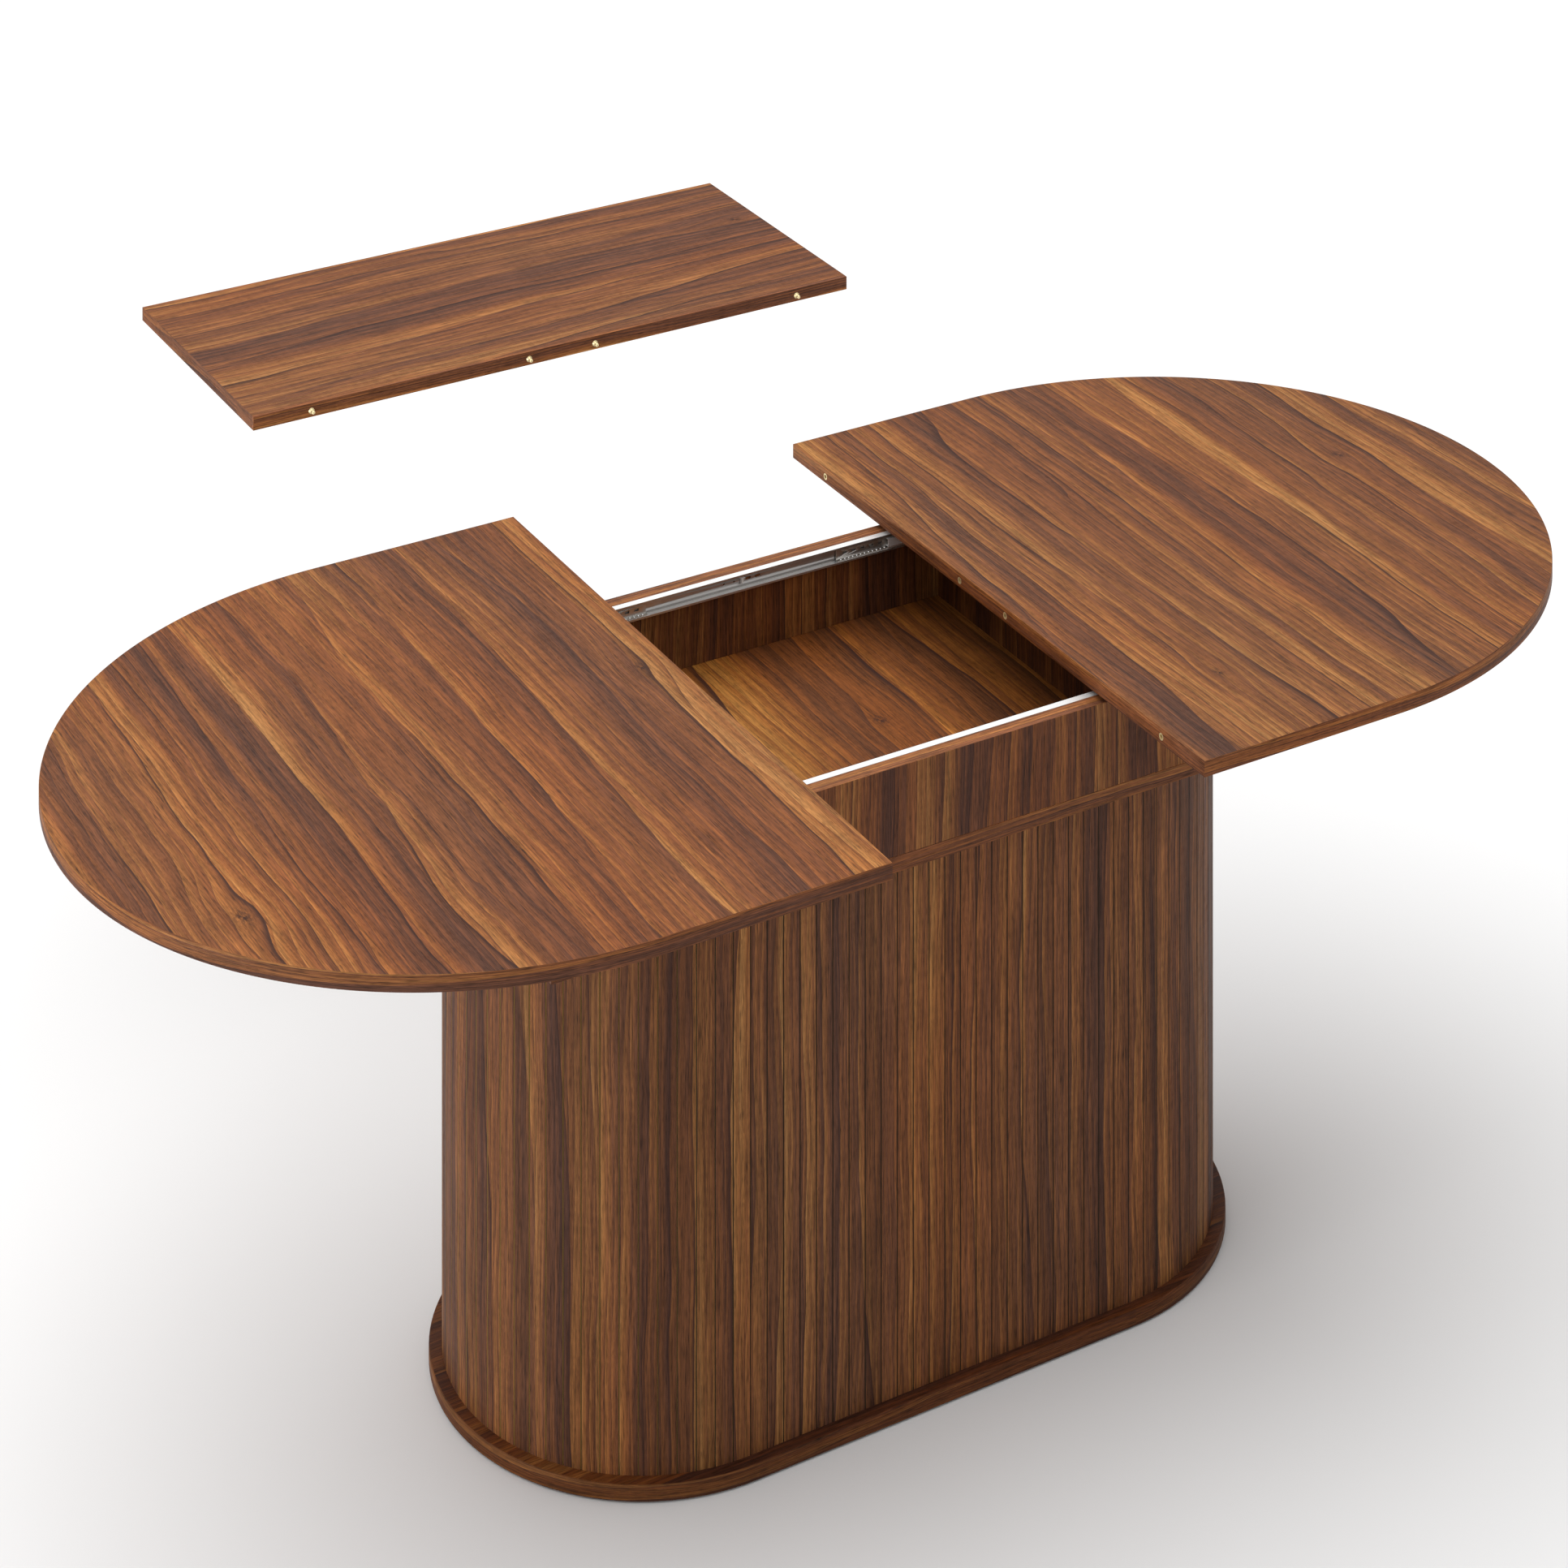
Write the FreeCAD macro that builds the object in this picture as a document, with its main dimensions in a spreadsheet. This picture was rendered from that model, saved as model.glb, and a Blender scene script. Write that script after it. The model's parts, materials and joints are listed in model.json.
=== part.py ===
import FreeCAD, Part
import math
import os
import Sketcher

# Extendable dining table: two half tops that slide apart on ball-bearing slides over a
# storage box, a fluted oval column, an oval plinth, and a loose extension leaf that is
# shown lifted off behind the table.
# +X runs along the table, +Y to the rear, +Z up. The origin is on the floor, at the
# middle of the plinth. Every length is in millimetres.

VECTOR = FreeCAD.Vector
X_AXIS = VECTOR(1, 0, 0)
Y_AXIS = VECTOR(0, 1, 0)
Z_AXIS = VECTOR(0, 0, 1)
QUARTER_TURN = math.pi / 2

DRIVING_SIZES = {
    "glide_thick": 2,
    "glide_radius": 15,
    "glide_end_inset": 60,
    "glide_side_inset": 40,
    "plinth_length": 1000,
    "plinth_width": 500,
    "plinth_thick": 18,
    "plinth_chamfer": 1,
    "column_length": 970,
    "column_width": 470,
    "column_height": 592,
    "cladding_thick": 9,
    "former_thick": 18,
    "column_board_thick": 18,
    "groove_width": 2,
    "groove_depth": 1.6,
    "flat_slats": 24,
    "end_slats": 35,
    "box_length": 1000,
    "box_width": 500,
    "base_plate_thick": 18,
    "rail_thick": 19,
    "rail_height": 98.5,
    "cross_panel_thick": 18,
    "chamber_half_length": 284,
    "notch_margin": 3,
    "top_thick": 18,
    "top_width": 900,
    "half_straight": 268,
    "tip_reach": 480,
    "top_clearance": 7.5,
    "open_gap": 402,
    "channel_length": 956,
    "channel_height": 20,
    "channel_depth": 9,
    "channel_wall": 1.2,
    "channel_lip": 1.2,
    "member_length": 450,
    "member_depth": 6,
    "member_inset": 1,
    "member_wall": 1.2,
    "member_setback": 4,
    "cage_length": 230,
    "cage_lead": 68,
    "cage_wall": 0.8,
    "cage_slot_length": 6,
    "cage_slot_height": 3,
    "cage_slot_count": 17,
    "ball_radius": 1.6,
    "ball_clearance": 0.3,
    "ball_hole_margin": 0.15,
    "ball_count": 39,
    "ball_row_inset": 1.5,
    "running_gap": 0.4,
    "stop_width": 3,
    "stop_reach": 4,
    "slot_length": 8,
    "slot_height": 4,
    "batten_thick": 18,
    "batten_length": 450,
    "batten_setback": 30,
    "pin_radius": 2.5,
    "pin_reach": 8,
    "collar_radius": 4,
    "collar_length": 12,
    "socket_depth": 14,
    "pin_running_fit": 0.05,
    "glue_gap": 0.05,
    "pin_height": 8,
    "near_pin_offset": 50,
    "far_pin_offset": 368,
    "leaf_length": 900,
    "leaf_width": 400,
    "leaf_thick": 18,
    "leaf_lipping": 5,
    "leaf_off_x": 60,
    "leaf_off_y": 1031,
    "leaf_lift": 2,
    "screw_radius": 1.6,
    "screw_head_radius": 3.5,
    "screw_head_height": 2.2,
    "slide_screw_length": 16,
    "slide_screw_proud": 0.8,
    "batten_screw_length": 40,
    "box_screw_length": 50,
    "frame_screw_length": 32,
    "dowel_radius": 4,
    "dowel_length": 27,
}

# Heights above the floor.
PLINTH_BASE = "Sizes.glide_thick"
COLUMN_BASE = f"({PLINTH_BASE} + Sizes.plinth_thick)"
PLATE_BASE = f"({COLUMN_BASE} + Sizes.column_height)"
CHAMBER_FLOOR = f"({PLATE_BASE} + Sizes.base_plate_thick)"
RAIL_TOP = f"({CHAMBER_FLOOR} + Sizes.rail_height)"
CHANNEL_BASE = f"({RAIL_TOP} - Sizes.channel_height)"
SLIDE_MIDDLE = f"({RAIL_TOP} - Sizes.channel_height / 2)"
TOP_UNDERSIDE = f"({RAIL_TOP} + Sizes.top_clearance)"
TOP_SURFACE = f"({TOP_UNDERSIDE} + Sizes.top_thick)"
TOP_PIN_HEIGHT = f"({TOP_UNDERSIDE} + Sizes.pin_height)"
LEAF_UNDERSIDE = f"({TOP_SURFACE} + Sizes.leaf_lift)"
LEAF_PIN_HEIGHT = f"({LEAF_UNDERSIDE} + Sizes.pin_height)"

# Distances from the middle of the table across its width.
RAIL_INNER = "(Sizes.box_width / 2 - Sizes.rail_thick)"
CHANNEL_WEB_INNER = f"({RAIL_INNER} - Sizes.channel_wall)"
CHANNEL_MOUTH = f"({RAIL_INNER} - Sizes.channel_depth)"
MEMBER_BACK = f"({CHANNEL_MOUTH} - Sizes.member_inset)"
MEMBER_FRONT = f"({MEMBER_BACK} + Sizes.member_depth)"
BATTEN_INNER = f"({MEMBER_BACK} - Sizes.batten_thick)"
CAGE_WEB_INNER = f"({MEMBER_FRONT} + Sizes.running_gap)"
BALL_ROW = f"({MEMBER_BACK} + Sizes.member_wall + Sizes.ball_radius + Sizes.ball_row_inset)"

# Distances along the table from its middle, for the right half at rest.
HALF_EDGE = "(Sizes.open_gap / 2)"
ELLIPSE_CENTRE = f"({HALF_EDGE} + Sizes.half_straight)"
MEMBER_START = f"({HALF_EDGE} + Sizes.member_setback)"
BATTEN_START = f"({HALF_EDGE} + Sizes.batten_setback)"
CAGE_START = f"({HALF_EDGE} - Sizes.cage_lead)"
END_CENTRE = "((Sizes.column_length - Sizes.column_width) / 2)"
CORE_RADIUS = "(Sizes.column_width / 2 - Sizes.cladding_thick)"
CORE_BASE = f"({COLUMN_BASE} + Sizes.former_thick)"
CORE_HEIGHT = "(Sizes.column_height - 2 * Sizes.former_thick)"

# The moving member stands inside the channel with a ball row above and below it, so each
# row lies halfway between a flange of the fixed channel and a flange of the member.
BALL_TRACK = "(2 * Sizes.ball_radius + 2 * Sizes.ball_clearance)"
MEMBER_HEIGHT = f"(Sizes.channel_height - 2 * (Sizes.channel_wall + {BALL_TRACK}))"
BALL_OFFSET = f"(({MEMBER_HEIGHT} + {BALL_TRACK}) / 2)"
BALL_HOLE_RADIUS = "(Sizes.ball_radius + Sizes.ball_hole_margin)"

# Places of the screws and dowels along the piece that they hold, as shares of its length.
DECK_SCREW_SHARES = (0.8, 0.6)
RAIL_SCREW_STEP = 0.22
DOWEL_SHARES = (0.25, 0.6)
CHANNEL_SCREW_SHARES = (-0.94, -0.68, -0.38, 0.38, 0.68, 0.94)
MEMBER_SCREW_SHARES = (0.2, 0.5, 0.85)
BATTEN_SCREW_SHARES = (0.08, 0.36, 0.64, 0.92)

doc = FreeCAD.newDocument("extendable_dining_table")
sub_parts = []


def add_sheet():
    """Write the driving sizes into a spreadsheet, one alias a row."""
    sheet = doc.addObject("Spreadsheet::Sheet", "Sizes")
    for row, (alias, value) in enumerate(DRIVING_SIZES.items(), start=1):
        sheet.set(f"A{row}", alias)
        sheet.set(f"B{row}", str(value))
        sheet.setAlias(f"B{row}", alias)
    doc.recompute()


def bind(item, expressions):
    """Bind each property of an object to its expression."""
    for path, expression in expressions.items():
        item.setExpression(path, expression)


def put(item, x="0", y="0", z="0"):
    """Bind the place of an object."""
    bind(item, {"Placement.Base.x": x, "Placement.Base.y": y, "Placement.Base.z": z})


def turn(item, axis, degrees):
    """Turn an object about an axis through its own origin."""
    item.Placement = FreeCAD.Placement(item.Placement.Base, FreeCAD.Rotation(axis, degrees))


def add(kind, name):
    """Add one object of a kind, labelled with its name."""
    item = doc.addObject(kind, name)
    item.Label = name
    return item


def publish(item):
    """List an object as a sub-part of the table."""
    sub_parts.append(item)
    return item


def board(name, length, width, height, x="0", y="0", z="0"):
    """A square-edged board with its low corner at x, y, z."""
    item = add("Part::Box", name)
    bind(item, {"Length": length, "Width": width, "Height": height})
    put(item, x, y, z)
    return item


def rod(name, radius, height, x="0", y="0", z="0", axis=Z_AXIS, degrees=0):
    """A cylinder that starts at x, y, z and runs along its turned Z axis."""
    item = add("Part::Cylinder", name)
    bind(item, {"Radius": radius, "Height": height})
    turn(item, axis, degrees)
    put(item, x, y, z)
    return item


def fused(name, pieces):
    """Fuse pieces into one solid."""
    item = add("Part::MultiFuse", name)
    item.Shapes = pieces
    item.Refine = True
    return item


def grouped(name, pieces):
    """Keep several separate solids in one object."""
    item = add("Part::Compound", name)
    item.Links = pieces
    return item


def cut(name, base, tool):
    """Cut a tool out of a base."""
    item = add("Part::Cut", name)
    item.Base = base
    item.Tool = tool
    return item


def mirrored(name, source, normal):
    """Mirror a piece in a plane through the middle of the table."""
    item = add("Part::Mirroring", name)
    item.Source = source
    item.Normal = normal
    return item


def add_body(name):
    """A PartDesign body whose name is its sub-part's name."""
    return add("PartDesign::Body", name)


def origin_feature(body, role):
    """One of a body's own origin planes or axes."""
    return next(item for item in body.Origin.OriginFeatures if item.Role == role)


def add_sketch(body, name):
    """A sketch on the body's own horizontal plane."""
    sketch = body.newObject("Sketcher::SketchObject", name)
    sketch.AttachmentSupport = [(origin_feature(body, "XY_Plane"), "")]
    sketch.MapMode = "FlatFace"
    return sketch


def size_constraint(sketch, kind, where, value, name, expression):
    """Add a dimension to a sketch and bind it to its expression."""
    index = sketch.addConstraint(Sketcher.Constraint(kind, *where, value))
    sketch.renameConstraint(index, name)
    sketch.setExpression(f"Constraints.{name}", expression)


def add_pad(body, sketch, name, height):
    """Pad a sketch upwards."""
    pad = body.newObject("PartDesign::Pad", name)
    pad.Profile = sketch
    bind(pad, {"Length": height})
    return pad


def stadium_body(name, length, width, height, z):
    """A flat board with two straight sides and two round ends."""
    body = add_body(name)
    sketch = add_sketch(body, f"{name}_outline")
    half, radius = 240, 230
    centre = VECTOR(half, 0, 0)
    right = Part.ArcOfCircle(Part.Circle(centre, Z_AXIS, radius), -QUARTER_TURN, QUARTER_TURN)
    left = Part.ArcOfCircle(Part.Circle(-centre, Z_AXIS, radius), QUARTER_TURN, 3 * QUARTER_TURN)
    front = Part.LineSegment(VECTOR(-half, -radius, 0), VECTOR(half, -radius, 0))
    rear = Part.LineSegment(VECTOR(half, radius, 0), VECTOR(-half, radius, 0))
    sketch.addGeometry([front, right, rear, left], False)
    for joined in ((0, 2, 1, 1), (1, 2, 2, 1), (2, 2, 3, 1), (3, 2, 0, 1)):
        sketch.addConstraint(Sketcher.Constraint("Tangent", *joined))
    sketch.addConstraint(Sketcher.Constraint("PointOnObject", 1, 3, -1))
    sketch.addConstraint(Sketcher.Constraint("Symmetric", 1, 3, 3, 3, -2))
    sketch.addConstraint(Sketcher.Constraint("Equal", 1, 3))
    size_constraint(sketch, "Radius", (1,), radius, "end_radius", f"{width} / 2")
    size_constraint(sketch, "DistanceX", (3, 3, 1, 3), 2 * half, "centres", f"{length} - {width}")
    add_pad(body, sketch, f"{name}_pad", height)
    put(body, z=z)
    return body


def groove_sketch(body, name, depth_line):
    """A V groove's triangle whose mouth lies on the line y = -depth_line."""
    sketch = add_sketch(body, name)
    corners = (VECTOR(-1, -101, 0), VECTOR(1, -101, 0), VECTOR(0, -98, 0))
    for start, end in ((0, 1), (1, 2), (2, 0)):
        sketch.addGeometry(Part.LineSegment(corners[start], corners[end]), False)
    for joined in ((0, 2, 1, 1), (1, 2, 2, 1), (2, 2, 0, 1)):
        sketch.addConstraint(Sketcher.Constraint("Coincident", *joined))
    sketch.addConstraint(Sketcher.Constraint("Horizontal", 0))
    sketch.addConstraint(Sketcher.Constraint("Equal", 1, 2))
    size_constraint(sketch, "DistanceX", (0, 1, 0, 2), 2, "mouth", "Sizes.groove_width * 1.5")
    apex = f"{depth_line} - Sizes.groove_depth"
    size_constraint(sketch, "DistanceY", (1, 2, -1, 1), 98, "apex", apex)
    mouth = f"{depth_line} + Sizes.groove_depth / 2"
    size_constraint(sketch, "DistanceY", (0, 1, -1, 1), 101, "mouth_line", mouth)
    return sketch


def pocket_through(body, sketch, name):
    """Cut a sketch through the whole height and make sure that it cuts."""
    doc.recompute()
    before = body.Shape.Volume
    pocket = body.newObject("PartDesign::Pocket", name)
    pocket.Profile = sketch
    pocket.Type = "ThroughAll"
    pocket.Reversed = True
    body.Tip = pocket
    doc.recompute()
    if body.Shape.Volume >= before:
        raise RuntimeError(f"{name} cuts nothing")
    return pocket


def add_plinth():
    """Felt glides and the oval plinth board that they carry."""
    pads = []
    reach_x = "(Sizes.plinth_length / 2 - Sizes.glide_end_inset)"
    flank_y = "(Sizes.plinth_width / 2 - Sizes.glide_side_inset)"
    spots = [("0", "0"), (reach_x, "0"), (f"-{reach_x}", "0")]
    spots += [(f"{sx}{END_CENTRE}", f"{sy}{flank_y}") for sx in ("", "-") for sy in ("", "-")]
    for index, (x, y) in enumerate(spots):
        pads.append(rod(f"glide_{index}", "Sizes.glide_radius", "Sizes.glide_thick", x, y))
    publish(grouped("felt_glides", pads))
    body = stadium_body("plinth", "Sizes.plinth_length", "Sizes.plinth_width",
                        "Sizes.plinth_thick", PLINTH_BASE)
    doc.recompute()
    chamfer = body.newObject("PartDesign::Chamfer", "plinth_top_chamfer")
    pad = doc.getObject("plinth_pad")
    top_face = max(range(len(pad.Shape.Faces)), key=lambda index: pad.Shape.Faces[index].CenterOfMass.z)
    chamfer.Base = (pad, [f"Face{top_face + 1}"])
    bind(chamfer, {"Size": "Sizes.plinth_chamfer"})
    body.Tip = chamfer
    publish(body)


def add_column():
    """Formers, boards and ribs of the column, and the fluted cladding around them."""
    core_length = "(Sizes.column_length - 2 * Sizes.cladding_thick)"
    core_width = "(Sizes.column_width - 2 * Sizes.cladding_thick)"
    upper = f"({COLUMN_BASE} + Sizes.column_height - Sizes.former_thick)"
    for name, z in (("column_bottom_former", COLUMN_BASE), ("column_top_former", upper)):
        publish(stadium_body(name, core_length, core_width, "Sizes.former_thick", z))
    thick = "Sizes.column_board_thick"
    front = board("column_front_board", f"2 * {END_CENTRE}", thick, CORE_HEIGHT,
                  f"-{END_CENTRE}", f"-{CORE_RADIUS}", CORE_BASE)
    publish(front)
    publish(mirrored("column_rear_board", front, Y_AXIS))
    right = board("column_right_board", thick, f"2 * ({CORE_RADIUS} - {thick})", CORE_HEIGHT,
                  f"{END_CENTRE} - {thick}", f"{thick} - {CORE_RADIUS}", CORE_BASE)
    publish(right)
    publish(mirrored("column_left_board", right, X_AXIS))
    rib = rod("column_right_rib", CORE_RADIUS, "Sizes.former_thick", END_CENTRE,
              z=f"{CORE_BASE} + {CORE_HEIGHT} / 2", degrees=-90)
    rib.Angle = 180
    publish(rib)
    publish(mirrored("column_left_rib", rib, X_AXIS))


def add_flat_cladding():
    """The straight fluted panels at the front and the rear of the column."""
    body = add_body("front_fluted_panel")
    sketch = add_sketch(body, "fluted_panel_outline")
    corners = (VECTOR(-90, -100, 0), VECTOR(90, -100, 0), VECTOR(90, -92, 0), VECTOR(-90, -92, 0))
    for index in range(4):
        sketch.addGeometry(Part.LineSegment(corners[index], corners[(index + 1) % 4]), False)
    for index in range(4):
        joined = (index, 2, (index + 1) % 4, 1)
        sketch.addConstraint(Sketcher.Constraint("Coincident", *joined))
    for index, kind in enumerate(("Horizontal", "Vertical", "Horizontal", "Vertical")):
        sketch.addConstraint(Sketcher.Constraint(kind, index))
    length = f"2 * {END_CENTRE}"
    size_constraint(sketch, "DistanceX", (0, 1, 0, 2), 180, "length", length)
    size_constraint(sketch, "DistanceX", (0, 1, -1, 1), 90, "start", END_CENTRE)
    size_constraint(sketch, "DistanceY", (0, 1, 2, 1), 8, "depth", "Sizes.cladding_thick")
    size_constraint(sketch, "DistanceY", (0, 1, -1, 1), 100, "face", "Sizes.column_width / 2")
    add_pad(body, sketch, "fluted_panel_pad", "Sizes.column_height")
    groove = groove_sketch(body, "flat_groove", "Sizes.column_width / 2")
    size_constraint(groove, "DistanceX", (1, 2, -1, 1), 0, "first", END_CENTRE)
    pocket = pocket_through(body, groove, "flat_groove_cut")
    pattern = body.newObject("PartDesign::LinearPattern", "flat_grooves")
    pattern.Originals = [pocket]
    pattern.Direction = (origin_feature(body, "X_Axis"), [""])
    bind(pattern, {"Length": length, "Occurrences": "Sizes.flat_slats + 1"})
    body.Tip = pattern
    put(body, z=COLUMN_BASE)
    publish(body)
    publish(mirrored("rear_fluted_panel", body, Y_AXIS))


def add_end_cladding():
    """The half-round fluted shells at the two ends of the column."""
    body = add_body("right_fluted_shell")
    sketch = add_sketch(body, "fluted_shell_outline")
    origin = VECTOR(0, 0, 0)
    outer = Part.ArcOfCircle(Part.Circle(origin, Z_AXIS, 100), -QUARTER_TURN, QUARTER_TURN)
    inner = Part.ArcOfCircle(Part.Circle(origin, Z_AXIS, 92), -QUARTER_TURN, QUARTER_TURN)
    front = Part.LineSegment(VECTOR(0, -92, 0), VECTOR(0, -100, 0))
    rear = Part.LineSegment(VECTOR(0, 92, 0), VECTOR(0, 100, 0))
    sketch.addGeometry([outer, inner, front, rear], False)
    for joined in ((2, 1, 1, 1), (2, 2, 0, 1), (3, 1, 1, 2), (3, 2, 0, 2)):
        sketch.addConstraint(Sketcher.Constraint("Coincident", *joined))
    for arc in (0, 1):
        sketch.addConstraint(Sketcher.Constraint("Coincident", arc, 3, -1, 1))
    for line in (2, 3):
        sketch.addConstraint(Sketcher.Constraint("PointOnObject", line, 2, -2))
        sketch.addConstraint(Sketcher.Constraint("Vertical", line))
    size_constraint(sketch, "Radius", (0,), 100, "outer_radius", "Sizes.column_width / 2")
    size_constraint(sketch, "Radius", (1,), 92, "inner_radius", CORE_RADIUS)
    add_pad(body, sketch, "fluted_shell_pad", "Sizes.column_height")
    groove = groove_sketch(body, "end_groove", "Sizes.column_width / 2")
    groove.addConstraint(Sketcher.Constraint("PointOnObject", 1, 2, -2))
    pocket = pocket_through(body, groove, "end_groove_cut")
    pattern = body.newObject("PartDesign::PolarPattern", "end_grooves")
    pattern.Originals = [pocket]
    pattern.Axis = (origin_feature(body, "Z_Axis"), [""])
    pattern.Angle = 180
    bind(pattern, {"Occurrences": "Sizes.end_slats + 1"})
    body.Tip = pattern
    put(body, END_CENTRE, z=COLUMN_BASE)
    publish(body)
    publish(mirrored("left_fluted_shell", body, X_AXIS))


def notched_cross_panel(name, x):
    """A panel between the rails, notched at its upper corners for the slides and battens."""
    width = f"2 * {RAIL_INNER}"
    blank = board(f"{name}_blank", "Sizes.cross_panel_thick", width, "Sizes.rail_height",
                  x, f"-{RAIL_INNER}", CHAMBER_FLOOR)
    margin = "Sizes.notch_margin"
    notch_width = f"({RAIL_INNER} - {BATTEN_INNER} + {margin})"
    notches = []
    for side, y in (("front", f"-{RAIL_INNER}"), ("rear", f"{RAIL_INNER} - {notch_width}")):
        notches.append(board(f"{name}_{side}_notch", "Sizes.cross_panel_thick", notch_width,
                             f"Sizes.channel_height + 2 * {margin}", x, y,
                             f"{CHANNEL_BASE} - {margin}"))
    return publish(cut(name, blank, grouped(f"{name}_notches", notches)))


def add_box():
    """The storage box: base plate, side rails and cross panels."""
    publish(board("box_base_plate", "Sizes.box_length", "Sizes.box_width", "Sizes.base_plate_thick",
                  "-Sizes.box_length / 2", "-Sizes.box_width / 2", PLATE_BASE))
    front = board("front_rail", "Sizes.box_length", "Sizes.rail_thick", "Sizes.rail_height",
                  "-Sizes.box_length / 2", "-Sizes.box_width / 2", CHAMBER_FLOOR)
    publish(front)
    publish(mirrored("rear_rail", front, Y_AXIS))
    inner = notched_cross_panel("right_inner_cross_panel", "Sizes.chamber_half_length")
    publish(mirrored("left_inner_cross_panel", inner, X_AXIS))
    end = notched_cross_panel("right_end_cross_panel",
                              "Sizes.box_length / 2 - Sizes.cross_panel_thick")
    publish(mirrored("left_end_cross_panel", end, X_AXIS))


def slot_cutter(name, x):
    """A round-ended slot through the web of a channel, at its middle height."""
    run = "(Sizes.slot_length - Sizes.slot_height)"
    depth = "(Sizes.channel_wall + 2)"
    start = f"{CHANNEL_WEB_INNER} - 1"
    low = f"{SLIDE_MIDDLE} - Sizes.slot_height / 2"
    pieces = [board(f"{name}_run", run, depth, "Sizes.slot_height", f"{x} - {run} / 2", start, low)]
    for side, sign in (("low", "-"), ("high", "+")):
        pieces.append(rod(f"{name}_{side}_end", "Sizes.slot_height / 2", depth,
                          f"{x} {sign} {run} / 2", start, SLIDE_MIDDLE, X_AXIS, -90))
    return fused(name, pieces)


def add_channels():
    """The fixed slide channels on the rails, and the plastic stop in each."""
    length, wall = "Sizes.channel_length", "Sizes.channel_wall"
    start, depth = f"-{length} / 2", "Sizes.channel_depth"
    upper = f"{RAIL_TOP} - {wall}"
    lip = "Sizes.channel_lip"
    profile = [
        board("channel_web", length, wall, "Sizes.channel_height", start, CHANNEL_WEB_INNER, CHANNEL_BASE),
        board("channel_lower_flange", length, depth, wall, start, CHANNEL_MOUTH, CHANNEL_BASE),
        board("channel_upper_flange", length, depth, wall, start, CHANNEL_MOUTH, upper),
        board("channel_lower_lip", length, wall, f"{wall} + {lip}", start, CHANNEL_MOUTH, CHANNEL_BASE),
        board("channel_upper_lip", length, wall, f"{wall} + {lip}", start, CHANNEL_MOUTH, f"{upper} - {lip}"),
    ]
    cutters = [slot_cutter("near_channel_slot", "10"), slot_cutter("far_channel_slot", "23")]
    for index, x in enumerate(("-24", "-10")):
        cutters.append(rod(f"channel_keyhole_{index}", "Sizes.slot_height / 3", f"{wall} + 2",
                           x, f"{CHANNEL_WEB_INNER} - 1", SLIDE_MIDDLE, X_AXIS, -90))
    rear = cut("rear_slide_channel", fused("channel_profile", profile), grouped("channel_cutters", cutters))
    publish(rear)
    publish(mirrored("front_slide_channel", rear, Y_AXIS))
    reach, width = "Sizes.stop_reach", "Sizes.stop_width"
    stem = board("stop_stem", width, reach, f"2 * {width}", f"-{width} / 2",
                 f"{CHANNEL_WEB_INNER} - {reach}", f"{SLIDE_MIDDLE} - {width}")
    head = board("stop_head", f"2 * {width}", reach, f"{width} / 2", f"-{width}",
                 f"{CHANNEL_WEB_INNER} - {reach}", f"{SLIDE_MIDDLE} + {width}")
    stop = fused("rear_slide_stop", [stem, head])
    publish(grouped("slide_stops", [stop, mirrored("front_slide_stop", stop, Y_AXIS)]))


def add_member():
    """The moving slide members, screwed to the battens under the half tops."""
    length, wall = "Sizes.member_length", "Sizes.member_wall"
    base = f"({SLIDE_MIDDLE} - {MEMBER_HEIGHT} / 2)"
    upper = f"{base} + {MEMBER_HEIGHT} - {wall}"
    member = fused("right_rear_slide_member", [
        board("member_web", length, wall, MEMBER_HEIGHT, MEMBER_START, MEMBER_BACK, base),
        board("member_lower_flange", length, "Sizes.member_depth", wall, MEMBER_START, MEMBER_BACK, base),
        board("member_upper_flange", length, "Sizes.member_depth", wall, MEMBER_START, MEMBER_BACK, upper),
    ])
    publish_four("slide_member", member)


def publish_four(suffix, right_rear):
    """Publish a right rear piece and its copies at the other three corners."""
    publish(right_rear)
    publish(mirrored(f"right_front_{suffix}", right_rear, Y_AXIS))
    left = publish(mirrored(f"left_rear_{suffix}", right_rear, X_AXIS))
    publish(mirrored(f"left_front_{suffix}", left, Y_AXIS))


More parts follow.
